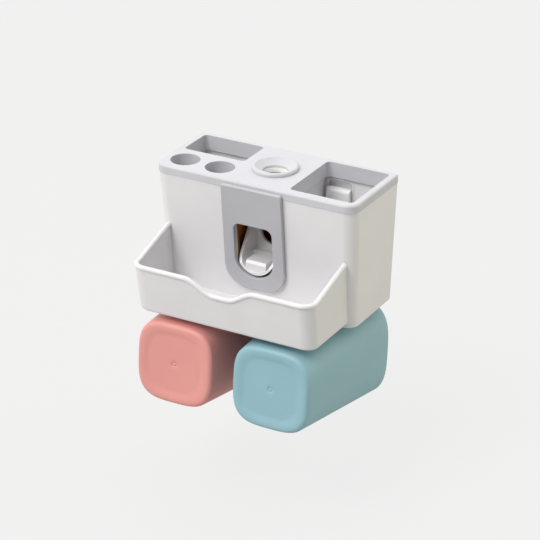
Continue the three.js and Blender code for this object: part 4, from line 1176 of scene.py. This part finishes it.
make_floor()
print("floor", FLOOR_DROP, "mm below the cups")

# %% Sky
SKY = 0.68
OVERHEAD = 1.25
DARK_SIDE = (0.65, -0.76, 0)
SKY_COLOUR = (1, 0.995, 0.985, 1)


def make_sky():
    world = bpy.data.worlds.new("studio_sky")
    bpy.context.scene.world = world
    world.use_nodes = True
    nodes, links = world.node_tree.nodes, world.node_tree.links
    towards = nodes.new("ShaderNodeTexCoord").outputs["Generated"]

    def graded(direction, level, far_level):
        """A level that changes from the horizon, or the middle, towards one direction."""
        facing = nodes.new("ShaderNodeVectorMath")
        facing.operation = "DOT_PRODUCT"
        facing.inputs[1].default_value = direction
        links.new(towards, facing.inputs[0])
        grade = nodes.new("ShaderNodeMapRange")
        for socket, value in zip(grade.inputs[1:5], (0, 1, level, far_level)):
            socket.default_value = value
        links.new(facing.outputs["Value"], grade.inputs["Value"])
        return grade.outputs["Result"]

    def combined(operation, first, second):
        node = nodes.new("ShaderNodeMath")
        node.operation = operation
        links.new(first, node.inputs[0])
        links.new(second, node.inputs[1])
        return node.outputs["Value"]

    light = nodes["Background"]
    light.inputs["Color"].default_value = SKY_COLOUR
    upper = graded((0, 0, 1), SKY, SKY * (1 + OVERHEAD))
    links.new(combined("MULTIPLY", upper, graded(DARK_SIDE, 1, 0)), light.inputs["Strength"])
    seen = nodes.new("ShaderNodeBackground")
    seen.inputs["Color"].default_value = BACKDROP
    rays = nodes.new("ShaderNodeLightPath").outputs
    shown = combined("MAXIMUM", rays["Is Camera Ray"], rays["Is Glossy Ray"])
    shown = combined("MAXIMUM", shown, rays["Is Transmission Ray"])
    blend = nodes.new("ShaderNodeMixShader")
    links.new(shown, blend.inputs["Fac"])
    links.new(light.outputs["Background"], blend.inputs[1])
    links.new(seen.outputs["Background"], blend.inputs[2])
    links.new(blend.outputs["Shader"], nodes["World Output"].inputs["Surface"])


make_sky()
print("sky", SKY, "at the horizon,", SKY * (1 + OVERHEAD), "overhead")

# %% Lamps
SUN = 0.4
SUN_FROM = Vector((-0.22, -0.6, 0.77)).normalized() * 2


def make_lamp(name, kind, energy, place, colour, size):
    data = bpy.data.lights.new(name, kind)
    data.energy = energy
    data.color = colour
    if kind == "SUN":
        data.angle = math.radians(size)
    else:
        data.shape = "SQUARE"
        data.size = size
    lamp = bpy.data.objects.new(name, data)
    lamp.location = place
    lamp.rotation_mode = "QUATERNION"
    lamp.rotation_quaternion = (-Vector(place)).to_track_quat("-Z", "Y")
    bpy.context.scene.collection.objects.link(lamp)
    print(name, "energy", round(energy, 2))


make_lamp("upper_front_sun", "SUN", SUN * math.pi, SUN_FROM, colour=(1, 0.99, 0.98), size=30)
make_lamp("front_softbox", "AREA", 3.0, place=(-0.3, -1.1, 0.9), colour=(1, 1, 1), size=0.5)
make_lamp("right_fill", "AREA", 3.2, place=(1.3, 0.6, -0.1), colour=(1, 0.93, 0.25), size=0.9)
view = bpy.context.scene.view_settings
view.view_transform = "Standard"
